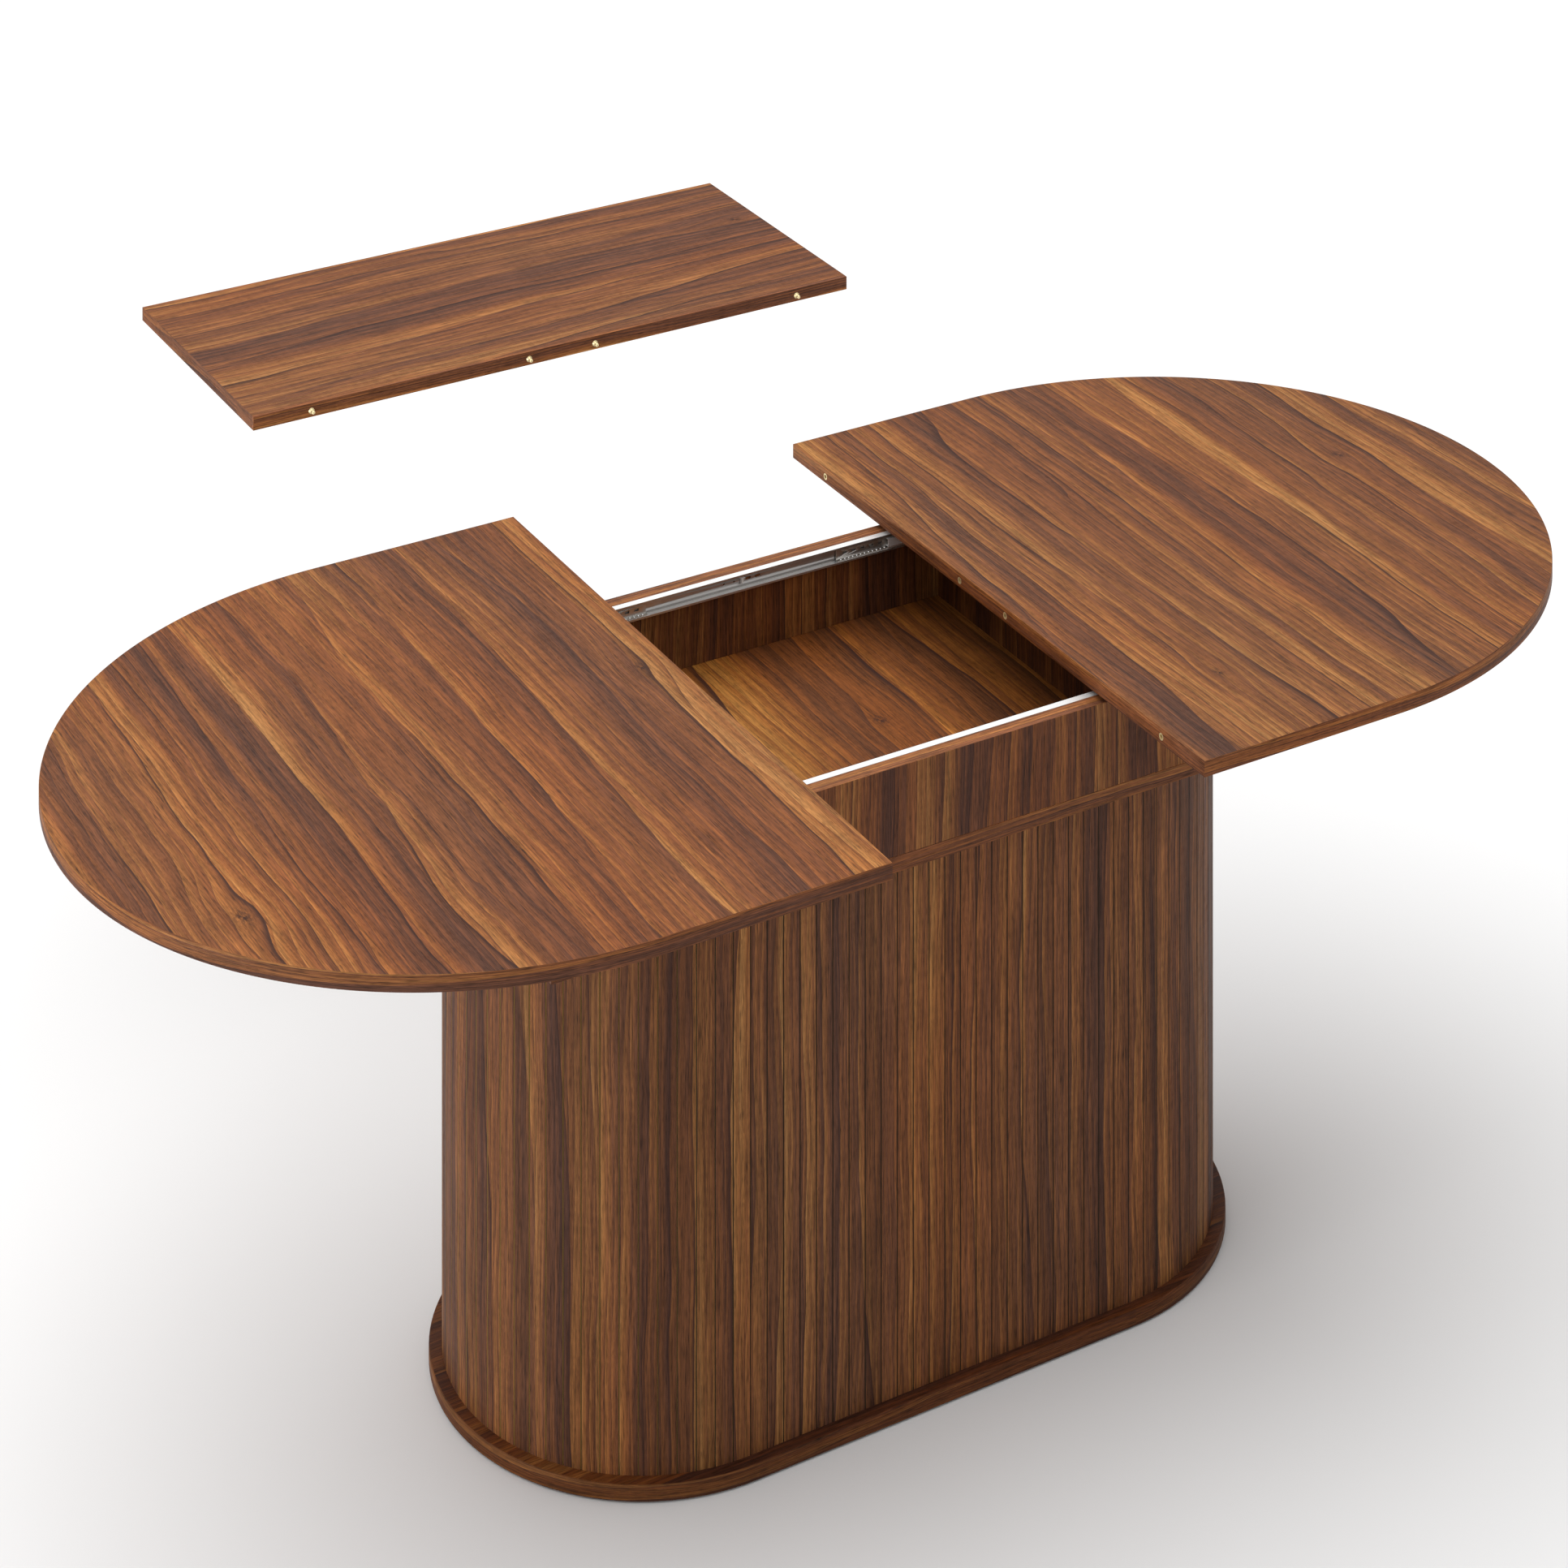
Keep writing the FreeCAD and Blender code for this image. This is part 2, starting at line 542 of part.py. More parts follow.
def add_cages():
    """The ball cages between channel and member, and the balls that they space out."""
    length, wall = "Sizes.cage_length", "Sizes.cage_wall"
    depth = f"({CAGE_WEB_INNER} + {wall} - {BALL_ROW} + {BALL_HOLE_RADIUS} + 0.5)"
    mouth = f"{CAGE_WEB_INNER} + {wall} - {depth}"
    low = f"({SLIDE_MIDDLE} - {BALL_OFFSET} - {wall} / 2)"
    high = f"({SLIDE_MIDDLE} + {BALL_OFFSET} - {wall} / 2)"
    strip = fused("cage_strip", [
        board("cage_web", length, wall, f"2 * {BALL_OFFSET} + {wall}", CAGE_START, CAGE_WEB_INNER, low),
        board("cage_lower_flange", length, depth, wall, CAGE_START, mouth, low),
        board("cage_upper_flange", length, depth, wall, CAGE_START, mouth, high),
    ])
    cutters = []
    pitch = "(Sizes.cage_length / (Sizes.cage_slot_count + 1))"
    for index in range(DRIVING_SIZES["cage_slot_count"]):
        x = f"{CAGE_START} + {index + 1} * {pitch} - Sizes.cage_slot_length / 2"
        cutters.append(board(f"cage_slot_{index}", "Sizes.cage_slot_length", f"{wall} + 2",
                             "Sizes.cage_slot_height", x, f"{CAGE_WEB_INNER} - 1",
                             f"{SLIDE_MIDDLE} - Sizes.cage_slot_height / 2"))
    balls = []
    pitch = "(Sizes.cage_length / (Sizes.ball_count + 1))"
    for row, sign in (("low", "-"), ("high", "+")):
        level = f"{SLIDE_MIDDLE} {sign} {BALL_OFFSET}"
        for index in range(DRIVING_SIZES["ball_count"]):
            x = f"{CAGE_START} + {index + 1} * {pitch}"
            cutters.append(rod(f"{row}_ball_hole_{index}", BALL_HOLE_RADIUS, f"3 * {wall}",
                               x, BALL_ROW, f"{level} - 1.5 * {wall}"))
            ball = add("Part::Sphere", f"{row}_ball_{index}")
            bind(ball, {"Radius": "Sizes.ball_radius"})
            put(ball, x, BALL_ROW, level)
            balls.append(ball)
    publish_four("cage", cut("right_rear_cage", strip, grouped("cage_cutters", cutters)))
    publish_four("balls", grouped("right_rear_balls", balls))


def add_edge_fittings(name, kind, spots, axis, degrees):
    """Four pins or bushes, and the cutter of the holes that they are glued into."""
    fittings, holes = [], []
    for index, (x, y, z) in enumerate(spots):
        label = f"{name}_{index}"
        collar = rod(f"{label}_collar", "Sizes.collar_radius", "Sizes.collar_length",
                     z="-Sizes.collar_length")
        if kind == "pin":
            shank_length = "(Sizes.pin_reach - Sizes.pin_radius)"
            shank = rod(f"{label}_shank", "Sizes.pin_radius", shank_length)
            nose = add("Part::Sphere", f"{label}_nose")
            bind(nose, {"Radius": "Sizes.pin_radius"})
            put(nose, z=shank_length)
            fitting = fused(label, [collar, shank, nose])
        else:
            bore = rod(f"{label}_bore", "Sizes.pin_radius + Sizes.pin_running_fit",
                       "Sizes.collar_length + 2", z="-Sizes.collar_length - 1")
            fitting = cut(label, collar, bore)
        hole = rod(f"{label}_hole", "Sizes.collar_radius + Sizes.glue_gap",
                   "Sizes.socket_depth + 1", z="-Sizes.socket_depth")
        carrier = grouped(f"{label}_hole_place", [hole])
        for item in (fitting, carrier):
            turn(item, axis, degrees)
            put(item, x, y, z)
        fittings.append(fitting)
        holes.append(carrier)
    return publish(grouped(name, fittings)), grouped(f"{name}_holes", holes)


def edge_offsets():
    """Signed distances of the four fittings from the middle of an edge."""
    return [f"{sign}Sizes.{alias}" for sign in ("-", "") for alias in ("far_pin_offset", "near_pin_offset")]


def add_half_tops():
    """The two half tops: a straight part by the gap and a half-elliptical end."""
    rim = add("Part::Ellipse", "tip_outline")
    half_width = "Sizes.top_width / 2"
    bind(rim, {"MajorRadius": f"max(Sizes.tip_reach; {half_width})",
               "MinorRadius": f"min(Sizes.tip_reach; {half_width})",
               "Placement.Rotation.Angle": f"Sizes.tip_reach >= {half_width} ? 0 : 90"})
    put(rim, ELLIPSE_CENTRE, z=TOP_UNDERSIDE)
    slab = add("Part::Extrusion", "tip_slab")
    slab.Base = rim
    slab.DirMode = "Custom"
    slab.Dir = Z_AXIS
    slab.Solid = True
    bind(slab, {"LengthFwd": "Sizes.top_thick"})
    window = board("tip_window", "Sizes.tip_reach + 1", "Sizes.top_width + 2", "Sizes.top_thick",
                   ELLIPSE_CENTRE, "-Sizes.top_width / 2 - 1", TOP_UNDERSIDE)
    tip = add("Part::Common", "tip_end")
    tip.Base = slab
    tip.Tool = window
    straight = board("straight_part", "Sizes.half_straight", "Sizes.top_width", "Sizes.top_thick",
                     HALF_EDGE, "-Sizes.top_width / 2", TOP_UNDERSIDE)
    blank = fused("half_top_blank", [straight, tip])
    left_blank = mirrored("left_half_top_blank", blank, X_AXIS)
    right_spots = [(HALF_EDGE, y, TOP_PIN_HEIGHT) for y in edge_offsets()]
    left_spots = [(f"-{HALF_EDGE}", y, TOP_PIN_HEIGHT) for y in edge_offsets()]
    _, right_holes = add_edge_fittings("right_edge_bushes", "bush", right_spots, Y_AXIS, -90)
    _, left_holes = add_edge_fittings("left_edge_pins", "pin", left_spots, Y_AXIS, 90)
    publish(cut("right_top", blank, right_holes))
    publish(cut("left_top", left_blank, left_holes))


def add_battens():
    """The battens that join the half tops to the slide members."""
    height = f"{TOP_UNDERSIDE} - {CHANNEL_BASE}"
    publish_four("batten", board("right_rear_batten", "Sizes.batten_length", "Sizes.batten_thick",
                                 height, BATTEN_START, BATTEN_INNER, CHANNEL_BASE))


def add_leaf():
    """The extension leaf with a solid lipping, pins on one long edge and bushes on the other."""
    start = "Sizes.leaf_off_x - Sizes.leaf_length / 2"
    near = "(Sizes.leaf_off_y - Sizes.leaf_width / 2)"
    far = "(Sizes.leaf_off_y + Sizes.leaf_width / 2)"
    lip = "Sizes.leaf_lipping"
    pin_spots = [(f"Sizes.leaf_off_x + {x}", near, LEAF_PIN_HEIGHT) for x in edge_offsets()]
    bush_spots = [(f"Sizes.leaf_off_x + {x}", far, LEAF_PIN_HEIGHT) for x in edge_offsets()]
    _, pin_holes = add_edge_fittings("leaf_pins", "pin", pin_spots, X_AXIS, 90)
    _, bush_holes = add_edge_fittings("leaf_bushes", "bush", bush_spots, X_AXIS, -90)
    holes = grouped("leaf_holes", [pin_holes, bush_holes])
    core = board("leaf_blank", "Sizes.leaf_length", f"Sizes.leaf_width - 2 * {lip}",
                 "Sizes.leaf_thick", start, f"{near} + {lip}", LEAF_UNDERSIDE)
    near_strip = board("leaf_pin_strip", "Sizes.leaf_length", lip, "Sizes.leaf_thick",
                       start, near, LEAF_UNDERSIDE)
    far_strip = board("leaf_bush_strip", "Sizes.leaf_length", lip, "Sizes.leaf_thick",
                      start, f"{far} - {lip}", LEAF_UNDERSIDE)
    publish(cut("leaf", core, holes))
    publish(cut("leaf_pin_lipping", near_strip, pin_holes))
    publish(cut("leaf_bush_lipping", far_strip, bush_holes))


def screw(name, length, x, y, z, axis=Z_AXIS, degrees=0):
    """A countersunk screw whose head starts at x, y, z and whose shank runs along its Z axis."""
    head = add("Part::Cone", f"{name}_head")
    bind(head, {"Radius1": "Sizes.screw_head_radius", "Radius2": "Sizes.screw_radius",
                "Height": "Sizes.screw_head_height"})
    shank = rod(f"{name}_shank", "Sizes.screw_radius", f"{length} - Sizes.screw_head_height",
                z="Sizes.screw_head_height")
    item = fused(name, [head, shank])
    turn(item, axis, degrees)
    put(item, x, y, z)
    return item


def add_frame_screws():
    """Screws up through the plinth, the top former and the base plate."""
    deck = []
    along, across = DECK_SCREW_SHARES
    for step in (-1, 0, 1):
        for sign in ("-", ""):
            deck.append((f"{step} * {END_CENTRE} * {along}", f"{sign}{CORE_RADIUS} * {across}"))
    length = "Sizes.frame_screw_length"
    under_former = f"{COLUMN_BASE} + Sizes.column_height - Sizes.former_thick"
    for group, z in (("plinth_screws", PLINTH_BASE), ("column_top_screws", under_former)):
        publish(grouped(group, [screw(f"{group}_{index}", length, x, y, z)
                                for index, (x, y) in enumerate(deck)]))
    line = "(Sizes.box_width / 2 - Sizes.rail_thick / 2)"
    rows = [(f"{step} * Sizes.box_length * {RAIL_SCREW_STEP}", f"{sign}{line}")
            for step in (-2, -1, 0, 1, 2) for sign in ("-", "")]
    publish(grouped("rail_screws", [screw(f"rail_screw_{index}", "Sizes.box_screw_length", x, y, PLATE_BASE)
                                    for index, (x, y) in enumerate(rows)]))


def add_panel_dowels():
    """Dowels between the rails and the ends of the cross panels."""
    middles = ("(Sizes.chamber_half_length + Sizes.cross_panel_thick / 2)",
               "(Sizes.box_length / 2 - Sizes.cross_panel_thick / 2)")
    start = f"{RAIL_INNER} - Sizes.dowel_length / 2"
    dowels = []
    for column, x in enumerate(middles):
        for row, share in enumerate(DOWEL_SHARES):
            z = f"{CHAMBER_FLOOR} + {share} * Sizes.rail_height"
            dowel = rod(f"dowel_{column}_{row}", "Sizes.dowel_radius", "Sizes.dowel_length",
                        x, start, z, X_AXIS, -90)
            left = mirrored(f"left_dowel_{column}_{row}", dowel, X_AXIS)
            dowels += [dowel, left]
            dowels += [mirrored(f"front_{item.Name}", item, Y_AXIS) for item in (dowel, left)]
    publish(grouped("panel_dowels", dowels))


def add_slide_screws():
    """Screws of the channels into the rails, and of the members and battens above them."""
    proud = "Sizes.slide_screw_proud"
    rear = [screw(f"channel_screw_{index}", "Sizes.slide_screw_length",
                  f"{share} * Sizes.channel_length / 2", f"{CHANNEL_WEB_INNER} - {proud}",
                  SLIDE_MIDDLE, X_AXIS, -90)
            for index, share in enumerate(CHANNEL_SCREW_SHARES)]
    front = [mirrored(f"front_{item.Name}", item, Y_AXIS) for item in rear]
    publish(grouped("channel_screws", rear + front))
    member_face = f"{MEMBER_BACK} + Sizes.member_wall + {proud}"
    member = [screw(f"member_screw_{index}", "Sizes.slide_screw_length",
                    f"{MEMBER_START} + {share} * Sizes.member_length", member_face,
                    SLIDE_MIDDLE, X_AXIS, 90)
              for index, share in enumerate(MEMBER_SCREW_SHARES)]
    batten = [screw(f"batten_screw_{index}", "Sizes.batten_screw_length",
                    f"{BATTEN_START} + {share} * Sizes.batten_length",
                    f"{BATTEN_INNER} + Sizes.batten_thick / 2", CHANNEL_BASE)
              for index, share in enumerate(BATTEN_SCREW_SHARES)]
    for name, screws in (("member_screws", member), ("batten_screws", batten)):
        right = screws + [mirrored(f"front_{item.Name}", item, Y_AXIS) for item in screws]
        right_group = publish(grouped(f"right_{name}", right))
        publish(mirrored(f"left_{name}", right_group, X_AXIS))


def check_document():
    """Stop if any object failed or any sub-part is not a valid solid shape."""
    for item in doc.Objects:
        if "Invalid" in item.State or "Error" in item.State:
            raise RuntimeError(f"{item.Label} failed: {item.State}")
    for item in sub_parts:
        if item.Shape.isNull() or not item.Shape.isValid() or not item.Shape.Solids:
            raise RuntimeError(f"{item.Label} has no valid solid")


def write_parts():
    """Write each sub-part to its own STEP file."""
    os.makedirs("parts", exist_ok=True)
    for item in sub_parts:
        item.Shape.exportStep(f"parts/{item.Label}.step")
        box = item.Shape.BoundBox
        print(f"{item.Label}: {len(item.Shape.Solids)} solids, "
              f"{box.XMin:.1f}..{box.XMax:.1f} {box.YMin:.1f}..{box.YMax:.1f} {box.ZMin:.1f}..{box.ZMax:.1f}")
    print(len(sub_parts), "sub-parts")


add_sheet()
add_plinth()
add_column()
add_flat_cladding()
add_end_cladding()
add_box()
add_channels()
add_member()
add_cages()
add_half_tops()
add_battens()
add_leaf()
add_frame_screws()
add_panel_dowels()
add_slide_screws()
doc.recompute()
check_document()
write_parts()
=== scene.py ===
"""Looks of an extendable dining table, built around its packed construction.

Every length is in metres and every place is in the frame of the construction: +X along
the table, +Y to the rear, +Z up, with the origin on the floor under the plinth.
"""
import json
import logging
import math
from dataclasses import dataclass, field
from enum import Enum
from typing import Any, Callable, Iterable, Sequence

import bmesh
import bpy
from mathutils import Matrix, Vector


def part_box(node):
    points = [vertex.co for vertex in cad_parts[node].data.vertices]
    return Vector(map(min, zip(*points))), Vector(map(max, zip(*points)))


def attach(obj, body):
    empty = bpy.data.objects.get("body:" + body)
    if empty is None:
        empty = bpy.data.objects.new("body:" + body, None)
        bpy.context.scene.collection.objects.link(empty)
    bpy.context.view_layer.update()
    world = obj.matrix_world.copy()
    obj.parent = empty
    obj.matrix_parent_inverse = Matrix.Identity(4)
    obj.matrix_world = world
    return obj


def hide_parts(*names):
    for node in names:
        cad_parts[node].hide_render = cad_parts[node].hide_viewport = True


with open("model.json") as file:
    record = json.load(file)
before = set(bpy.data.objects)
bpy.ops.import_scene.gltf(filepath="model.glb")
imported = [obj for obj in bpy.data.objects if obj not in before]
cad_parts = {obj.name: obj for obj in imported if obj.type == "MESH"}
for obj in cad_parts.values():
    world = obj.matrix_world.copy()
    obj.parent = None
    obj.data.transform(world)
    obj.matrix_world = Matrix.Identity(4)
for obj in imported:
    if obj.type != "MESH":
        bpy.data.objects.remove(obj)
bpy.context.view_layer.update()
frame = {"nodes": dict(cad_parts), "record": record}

MM = 0.001
LOG = logging.getLogger("table")
Colour = tuple[float, float, float]


# ---------------------------------------------------------------------------- shader kit
class Signal:
    """A shader socket that takes part in Python expressions."""

    def __init__(self, graph: "ShaderGraph", socket: bpy.types.NodeSocket) -> None:
        """Keep a socket and the graph that it belongs to."""
        self.graph = graph
        self.socket = socket

    def maths(self, operation: str, *others: Any) -> "Signal":
        """Apply a Math node.

        Args:
            operation: the Math node's operation.
            others: numbers or signals for its further sockets.

        Returns:
            The node's result.
        """
        values = dict(enumerate((self, *others)))
        return self.graph.signal("ShaderNodeMath", {"operation": operation}, values)

    def __add__(self, other: Any) -> "Signal":
        """Sum."""
        return self.maths("ADD", other)

    def __radd__(self, other: Any) -> "Signal":
        """Sum, reflected."""
        return self.maths("ADD", other)

    def __sub__(self, other: Any) -> "Signal":
        """Difference."""
        return self.maths("SUBTRACT", other)

    def __rsub__(self, other: Any) -> "Signal":
        """Difference, reflected."""
        values = {0: other, 1: self}
        return self.graph.signal("ShaderNodeMath", {"operation": "SUBTRACT"}, values)

    def __mul__(self, other: Any) -> "Signal":
        """Product."""
        return self.maths("MULTIPLY", other)

    def __rmul__(self, other: Any) -> "Signal":
        """Product, reflected."""
        return self.maths("MULTIPLY", other)

    def __truediv__(self, other: Any) -> "Signal":
        """Quotient."""
        return self.maths("DIVIDE", other)

    def __neg__(self) -> "Signal":
        """Negated value."""
        return self.maths("MULTIPLY", -1.0)

    def size(self) -> "Signal":
        """Absolute value."""
        return self.maths("ABSOLUTE")

    def falloff(self) -> "Signal":
        """Bell curve exp(-x) of a squared distance."""
        return (-self).maths("EXPONENT")

    def step(self, low: float, high: float) -> "Signal":
        """Smooth step.

        Args:
            low: value at which the result is 0.
            high: value at which the result is 1; it may be below low.

        Returns:
            A mask from 0 to 1.
        """
        settings = {"interpolation_type": "SMOOTHSTEP"}
        rising = high > low
        ends = (low, high, 0.0, 1.0) if rising else (high, low, 1.0, 0.0)
        values = dict(enumerate((self, *ends)))
        return self.graph.signal("ShaderNodeMapRange", settings, values)


class ShaderGraph:
    """A material whose nodes are made by one method."""

    def __init__(self, name: str) -> None:
        """Start an empty material.

        Args:
            name: the material's name.
        """
        self.material = bpy.data.materials.new(name)
        self.material.use_nodes = True
        self.tree = self.material.node_tree
        self.tree.nodes.clear()
        self.bsdf = self.node("ShaderNodeBsdfPrincipled")
        output = self.node("ShaderNodeOutputMaterial")
        self.tree.links.new(self.bsdf.outputs[0], output.inputs["Surface"])

    def node(self, kind: str, settings: dict | None = None, values: dict | None = None) -> bpy.types.Node:
        """Make a node.

        Args:
            kind: the node's type.
            settings: its properties; "stops" gives a colour ramp's stops.
            values: numbers, tuples or signals by socket name or index.

        Returns:
            The node.
        """
        made = self.tree.nodes.new(kind)
        for key, value in (settings or {}).items():
            if key == "stops":
                self.fill_ramp(made.color_ramp, value)
            else:
                setattr(made, key, value)
        for key, value in (values or {}).items():
            self.feed(made.inputs[key], value)
        return made

    @staticmethod
    def fill_ramp(ramp: bpy.types.ColorRamp, stops: Sequence[tuple[float, Colour]]) -> None:
        """Write a colour ramp's stops.

        Args:
            ramp: the ramp.
            stops: position and colour of each stop.
        """
        while len(ramp.elements) < len(stops):
            ramp.elements.new(0.5)
        for element, (place, colour) in zip(ramp.elements, stops):
            element.position = place
            element.color = (*colour, 1.0)

    def feed(self, socket: bpy.types.NodeSocket, value: Any) -> None:
        """Link a signal to a socket, or set its value.

        Args:
            socket: the socket to feed.
            value: a signal, a number or a tuple.
        """
        if isinstance(value, Signal):
            self.tree.links.new(value.socket, socket)
        elif socket.type == "RGBA":
            socket.default_value = (*value[:3], 1.0)
        else:
            socket.default_value = value

    def signal(self, kind: str, settings: dict | None = None, values: dict | None = None,
               output: int | str = 0) -> Signal:
        """Make a node and take one of its outputs.

        Args:
            kind: the node's type.
            settings: its properties.
            values: its sockets' values.
            output: the output's name or index.

        Returns:
            The output.
        """
        return Signal(self, self.node(kind, settings, values).outputs[output])

    def vector(self, x: Any, y: Any, z: Any) -> Signal:
        """Put three numbers together as a vector."""
        return self.signal("ShaderNodeCombineXYZ", None, {0: x, 1: y, 2: z})

    def parts(self, vector: Signal) -> tuple[Signal, Signal, Signal]:
        """Take a vector apart into its three numbers."""
        split = self.node("ShaderNodeSeparateXYZ", None, {0: vector})
        return tuple(Signal(self, socket) for socket in split.outputs)

    def noise(self, place: Signal, detail: float = 2.0, rough: float = 0.5) -> Signal:
        """Fractal noise from 0 to 1 whose cells are one unit of place across."""
        values = {"Vector": place, "Scale": 1.0, "Detail": detail, "Roughness": rough}
        return self.signal("ShaderNodeTexNoise", {"noise_dimensions": "3D"}, values)

    def mix(self, mask: Any, first: Any, second: Any, mode: str = "MIX") -> Signal:
        """Blend two colours.

        Args:
            mask: share of the second colour.
            first: a colour.
            second: a colour.
            mode: how the two colours are blended.

        Returns:
            The blended colour.
        """
        settings = {"data_type": "RGBA", "blend_type": mode}
        return self.signal("ShaderNodeMix", settings, {0: mask, 6: first, 7: second}, 2)

    def finish(self, values: dict, height: Signal | None = None, depth: float = 0.0) -> bpy.types.Material:
        """Feed the surface shader.

        Args:
            values: the shader's sockets.
            height: relief, from 0 to 1.
            depth: the relief's depth in metres.

        Returns:
            The finished material.
        """
        for key, value in values.items():
            self.feed(self.bsdf.inputs[key], value)
        if height is not None:
            bump = self.signal("ShaderNodeBump", None, {"Strength": 0.6, "Distance": depth, "Height": height})
            self.feed(self.bsdf.inputs["Normal"], bump)
        return self.material


# ------------------------------------------------------------------------------ finishes
class Grain(Enum):
    """Where the grain of a veneer runs, and so which coordinates it reads."""

    ALONG_X = "x"
    ALONG_Y = "y"
    ALONG_Z = "z"
    ON_RIM = "rim"
    ON_SLAT = "slat"


@dataclass(frozen=True)
class Knot:
    """A knot in the veneer, placed across and along the grain."""

    across: float
    along: float
    radius: float = 0.012


@dataclass(frozen=True)
class Veneer:
    """Walnut veneer: flowing bands, growth lines, fibres, pores and knots."""

    name: str
    grain: Grain
    seed: float = 0.0
    gain: Colour = (1.0, 1.0, 1.0)
    band_width: float = 0.098
    sway: float = 0.022
    rough: float = 0.54
    knots: tuple[Knot, ...] = ()

    DEEP = (0.086, 0.033, 0.019)
    UMBER = (0.150, 0.052, 0.022)
    RUSSET = (0.208, 0.069, 0.022)
    AMBER = (0.295, 0.110, 0.030)
    HONEY = (0.400, 0.176, 0.053)
    LINE = (0.034, 0.013, 0.009)

    def coordinates(self, graph: ShaderGraph) -> tuple[Signal, Signal, Signal]:
        """Find the places across and along the grain.

        Args:
            graph: the graph to build in.

        Returns:
            The place across, the place along, and the third direction.
        """
        if self.grain is Grain.ON_RIM:
            run, height, depth = graph.parts(graph.signal("ShaderNodeTexCoord", output="UV"))
            return height, run, depth
        if self.grain is Grain.ON_SLAT:
            across, along, depth = graph.parts(graph.signal("ShaderNodeTexCoord", output="UV"))
            run = graph.signal("ShaderNodeAttribute", {"attribute_name": "run"}, output="Fac")
            return across + run, along, depth
        x, y, z = graph.parts(graph.signal("ShaderNodeTexCoord", output="Object"))
        if self.grain is Grain.ALONG_X:
            return y + z, x, z
        if self.grain is Grain.ALONG_Y:
            return x + z, y, z
        return x + y, z, y

    def bend_round_knots(self, graph: ShaderGraph, across: Signal, along: Signal) -> tuple[Signal, Any]:
        """Bend the grain round each knot.

        Args:
            graph: the graph to build in.
            across: the place across the grain.
            along: the place along the grain.

        Returns:
            The bent place across, and a mask of the knots' dark hearts.
        """
        bent, heart = across, 0.0
        for knot in self.knots:
            side = across - knot.across
            reach = along - knot.along
            near = (side * side / (4 * knot.radius) ** 2 + reach * reach / (9 * knot.radius) ** 2).falloff()
            core = (side * side / knot.radius ** 2 + reach * reach / (1.8 * knot.radius) ** 2).falloff()
            swirl = graph.noise(graph.vector(side * 260.0, reach * 130.0, 0.0), 3.0, 0.6)
            bent = bent - near * side * 0.75
            heart = heart + core * swirl.step(0.36, 0.62)
        return bent, heart

    def rings(self, graph: ShaderGraph, flow: Signal, along: Signal, pitch: float) -> tuple[Signal, Signal]:
        """Growth rings that darken slowly and end sharply in a thin dark line.

        Args:
            graph: the graph to build in.
            flow: the place across the grain, bent by the figure.
            along: the place along the grain.
            pitch: mean width of a ring.

        Returns:
            The place in the ring from 0 to 1, and the mask of its dark line.
        """
        drift = graph.noise(graph.vector(flow * (0.22 / pitch), along * 0.45, self.seed + pitch * 90), 2.0)
        place = (flow / pitch + drift * 5.0).maths("FRACT")
        strength = graph.noise(graph.vector(flow * (0.5 / pitch), along * 2.0, self.seed + 2.0), 1.0)
        edge = place.step(0.88, 1.0)
        return place, edge * edge * strength.step(0.43, 0.60)

    def figure(self, graph: ShaderGraph) -> tuple[Signal, Signal, Signal]:
        """Build the colour, the pore mask and the relief.

        Args:
            graph: the graph to build in.

        Returns:
            The colour, the pores' mask and the relief from 0 to 1.
        """
        across, along, deep = self.coordinates(graph)
        seed = self.seed
        bent, heart = self.bend_round_knots(graph, across, along)
        slow = graph.noise(graph.vector(across * 2.2, along * 1.5, seed + deep), 1.0) - 0.5
        wave = graph.noise(graph.vector(across * 7.0, along * 5.0, seed + 3.1), 2.0) - 0.5
        ripple = graph.noise(graph.vector(across * 60.0, along * 10.0, seed + 7.7), 2.0) - 0.5
        flow = bent + slow * (2 * self.sway) + wave * (0.9 * self.sway) + ripple * 0.0018
        band = graph.noise(graph.vector(flow / self.band_width, along * 0.35, seed + 11.0), 4.5, 0.60)
        wide, wide_line = self.rings(graph, flow, along, self.band_width * 0.62)
        thin, thin_line = self.rings(graph, flow, along, self.band_width * 0.14)
        shade = 0.47 + (band - 0.5) * 1.28 - (wide - 0.5) * 0.19 - (thin - 0.5) * 0.16
        stops = ((0.26, self.DEEP), (0.39, self.UMBER), (0.50, self.RUSSET), (0.61, self.AMBER),
                 (0.74, self.HONEY))
        base = graph.signal("ShaderNodeValToRGB", {"stops": stops}, {0: shade})
        streak = graph.noise(graph.vector(flow * 170.0, along * 5.0, seed + 23.0), 2.0, 0.5)
        fibre = graph.noise(graph.vector(across * 480.0, along * 11.0, seed + 31.0), 2.0, 0.6)
        dash = graph.noise(graph.vector(across * 1150.0, along * 70.0, seed + 37.0), 1.0)
        clump = graph.noise(graph.vector(flow * 45.0, along * 9.0, seed + 41.0), 2.0)
        pore = dash.step(0.53, 0.66) * clump.step(0.30, 0.58)
        long_pore = fibre.step(0.56, 0.70) * clump.step(0.45, 0.60)
        strand = graph.noise(graph.vector(across * 430.0, along * 17.0, seed + 29.0), 1.0).step(0.40, 0.60)
        tone = 0.84 + (streak - 0.5) * 0.70 + (fibre - 0.5) * 1.40 + (dash - 0.5) * 1.80 + strand * 0.32
        if self.grain is Grain.ON_SLAT:
            tone = tone * graph.signal("ShaderNodeAttribute", {"attribute_name": "tone"}, output="Fac")
        blush = graph.noise(graph.vector(across * 5.0, along * 1.8, seed + 53.0), 1.0) - 0.5
        red, green, blue = (tone * gain for gain in self.gain)
        tint = graph.vector(red * (1.0 + blush * 0.35), green, blue * (1.0 - blush * 0.5))
        colour = graph.mix(1.0, base, tint, "MULTIPLY")
        line = (wide_line * 1.00 + thin_line * 0.60).maths("MINIMUM", 0.85)
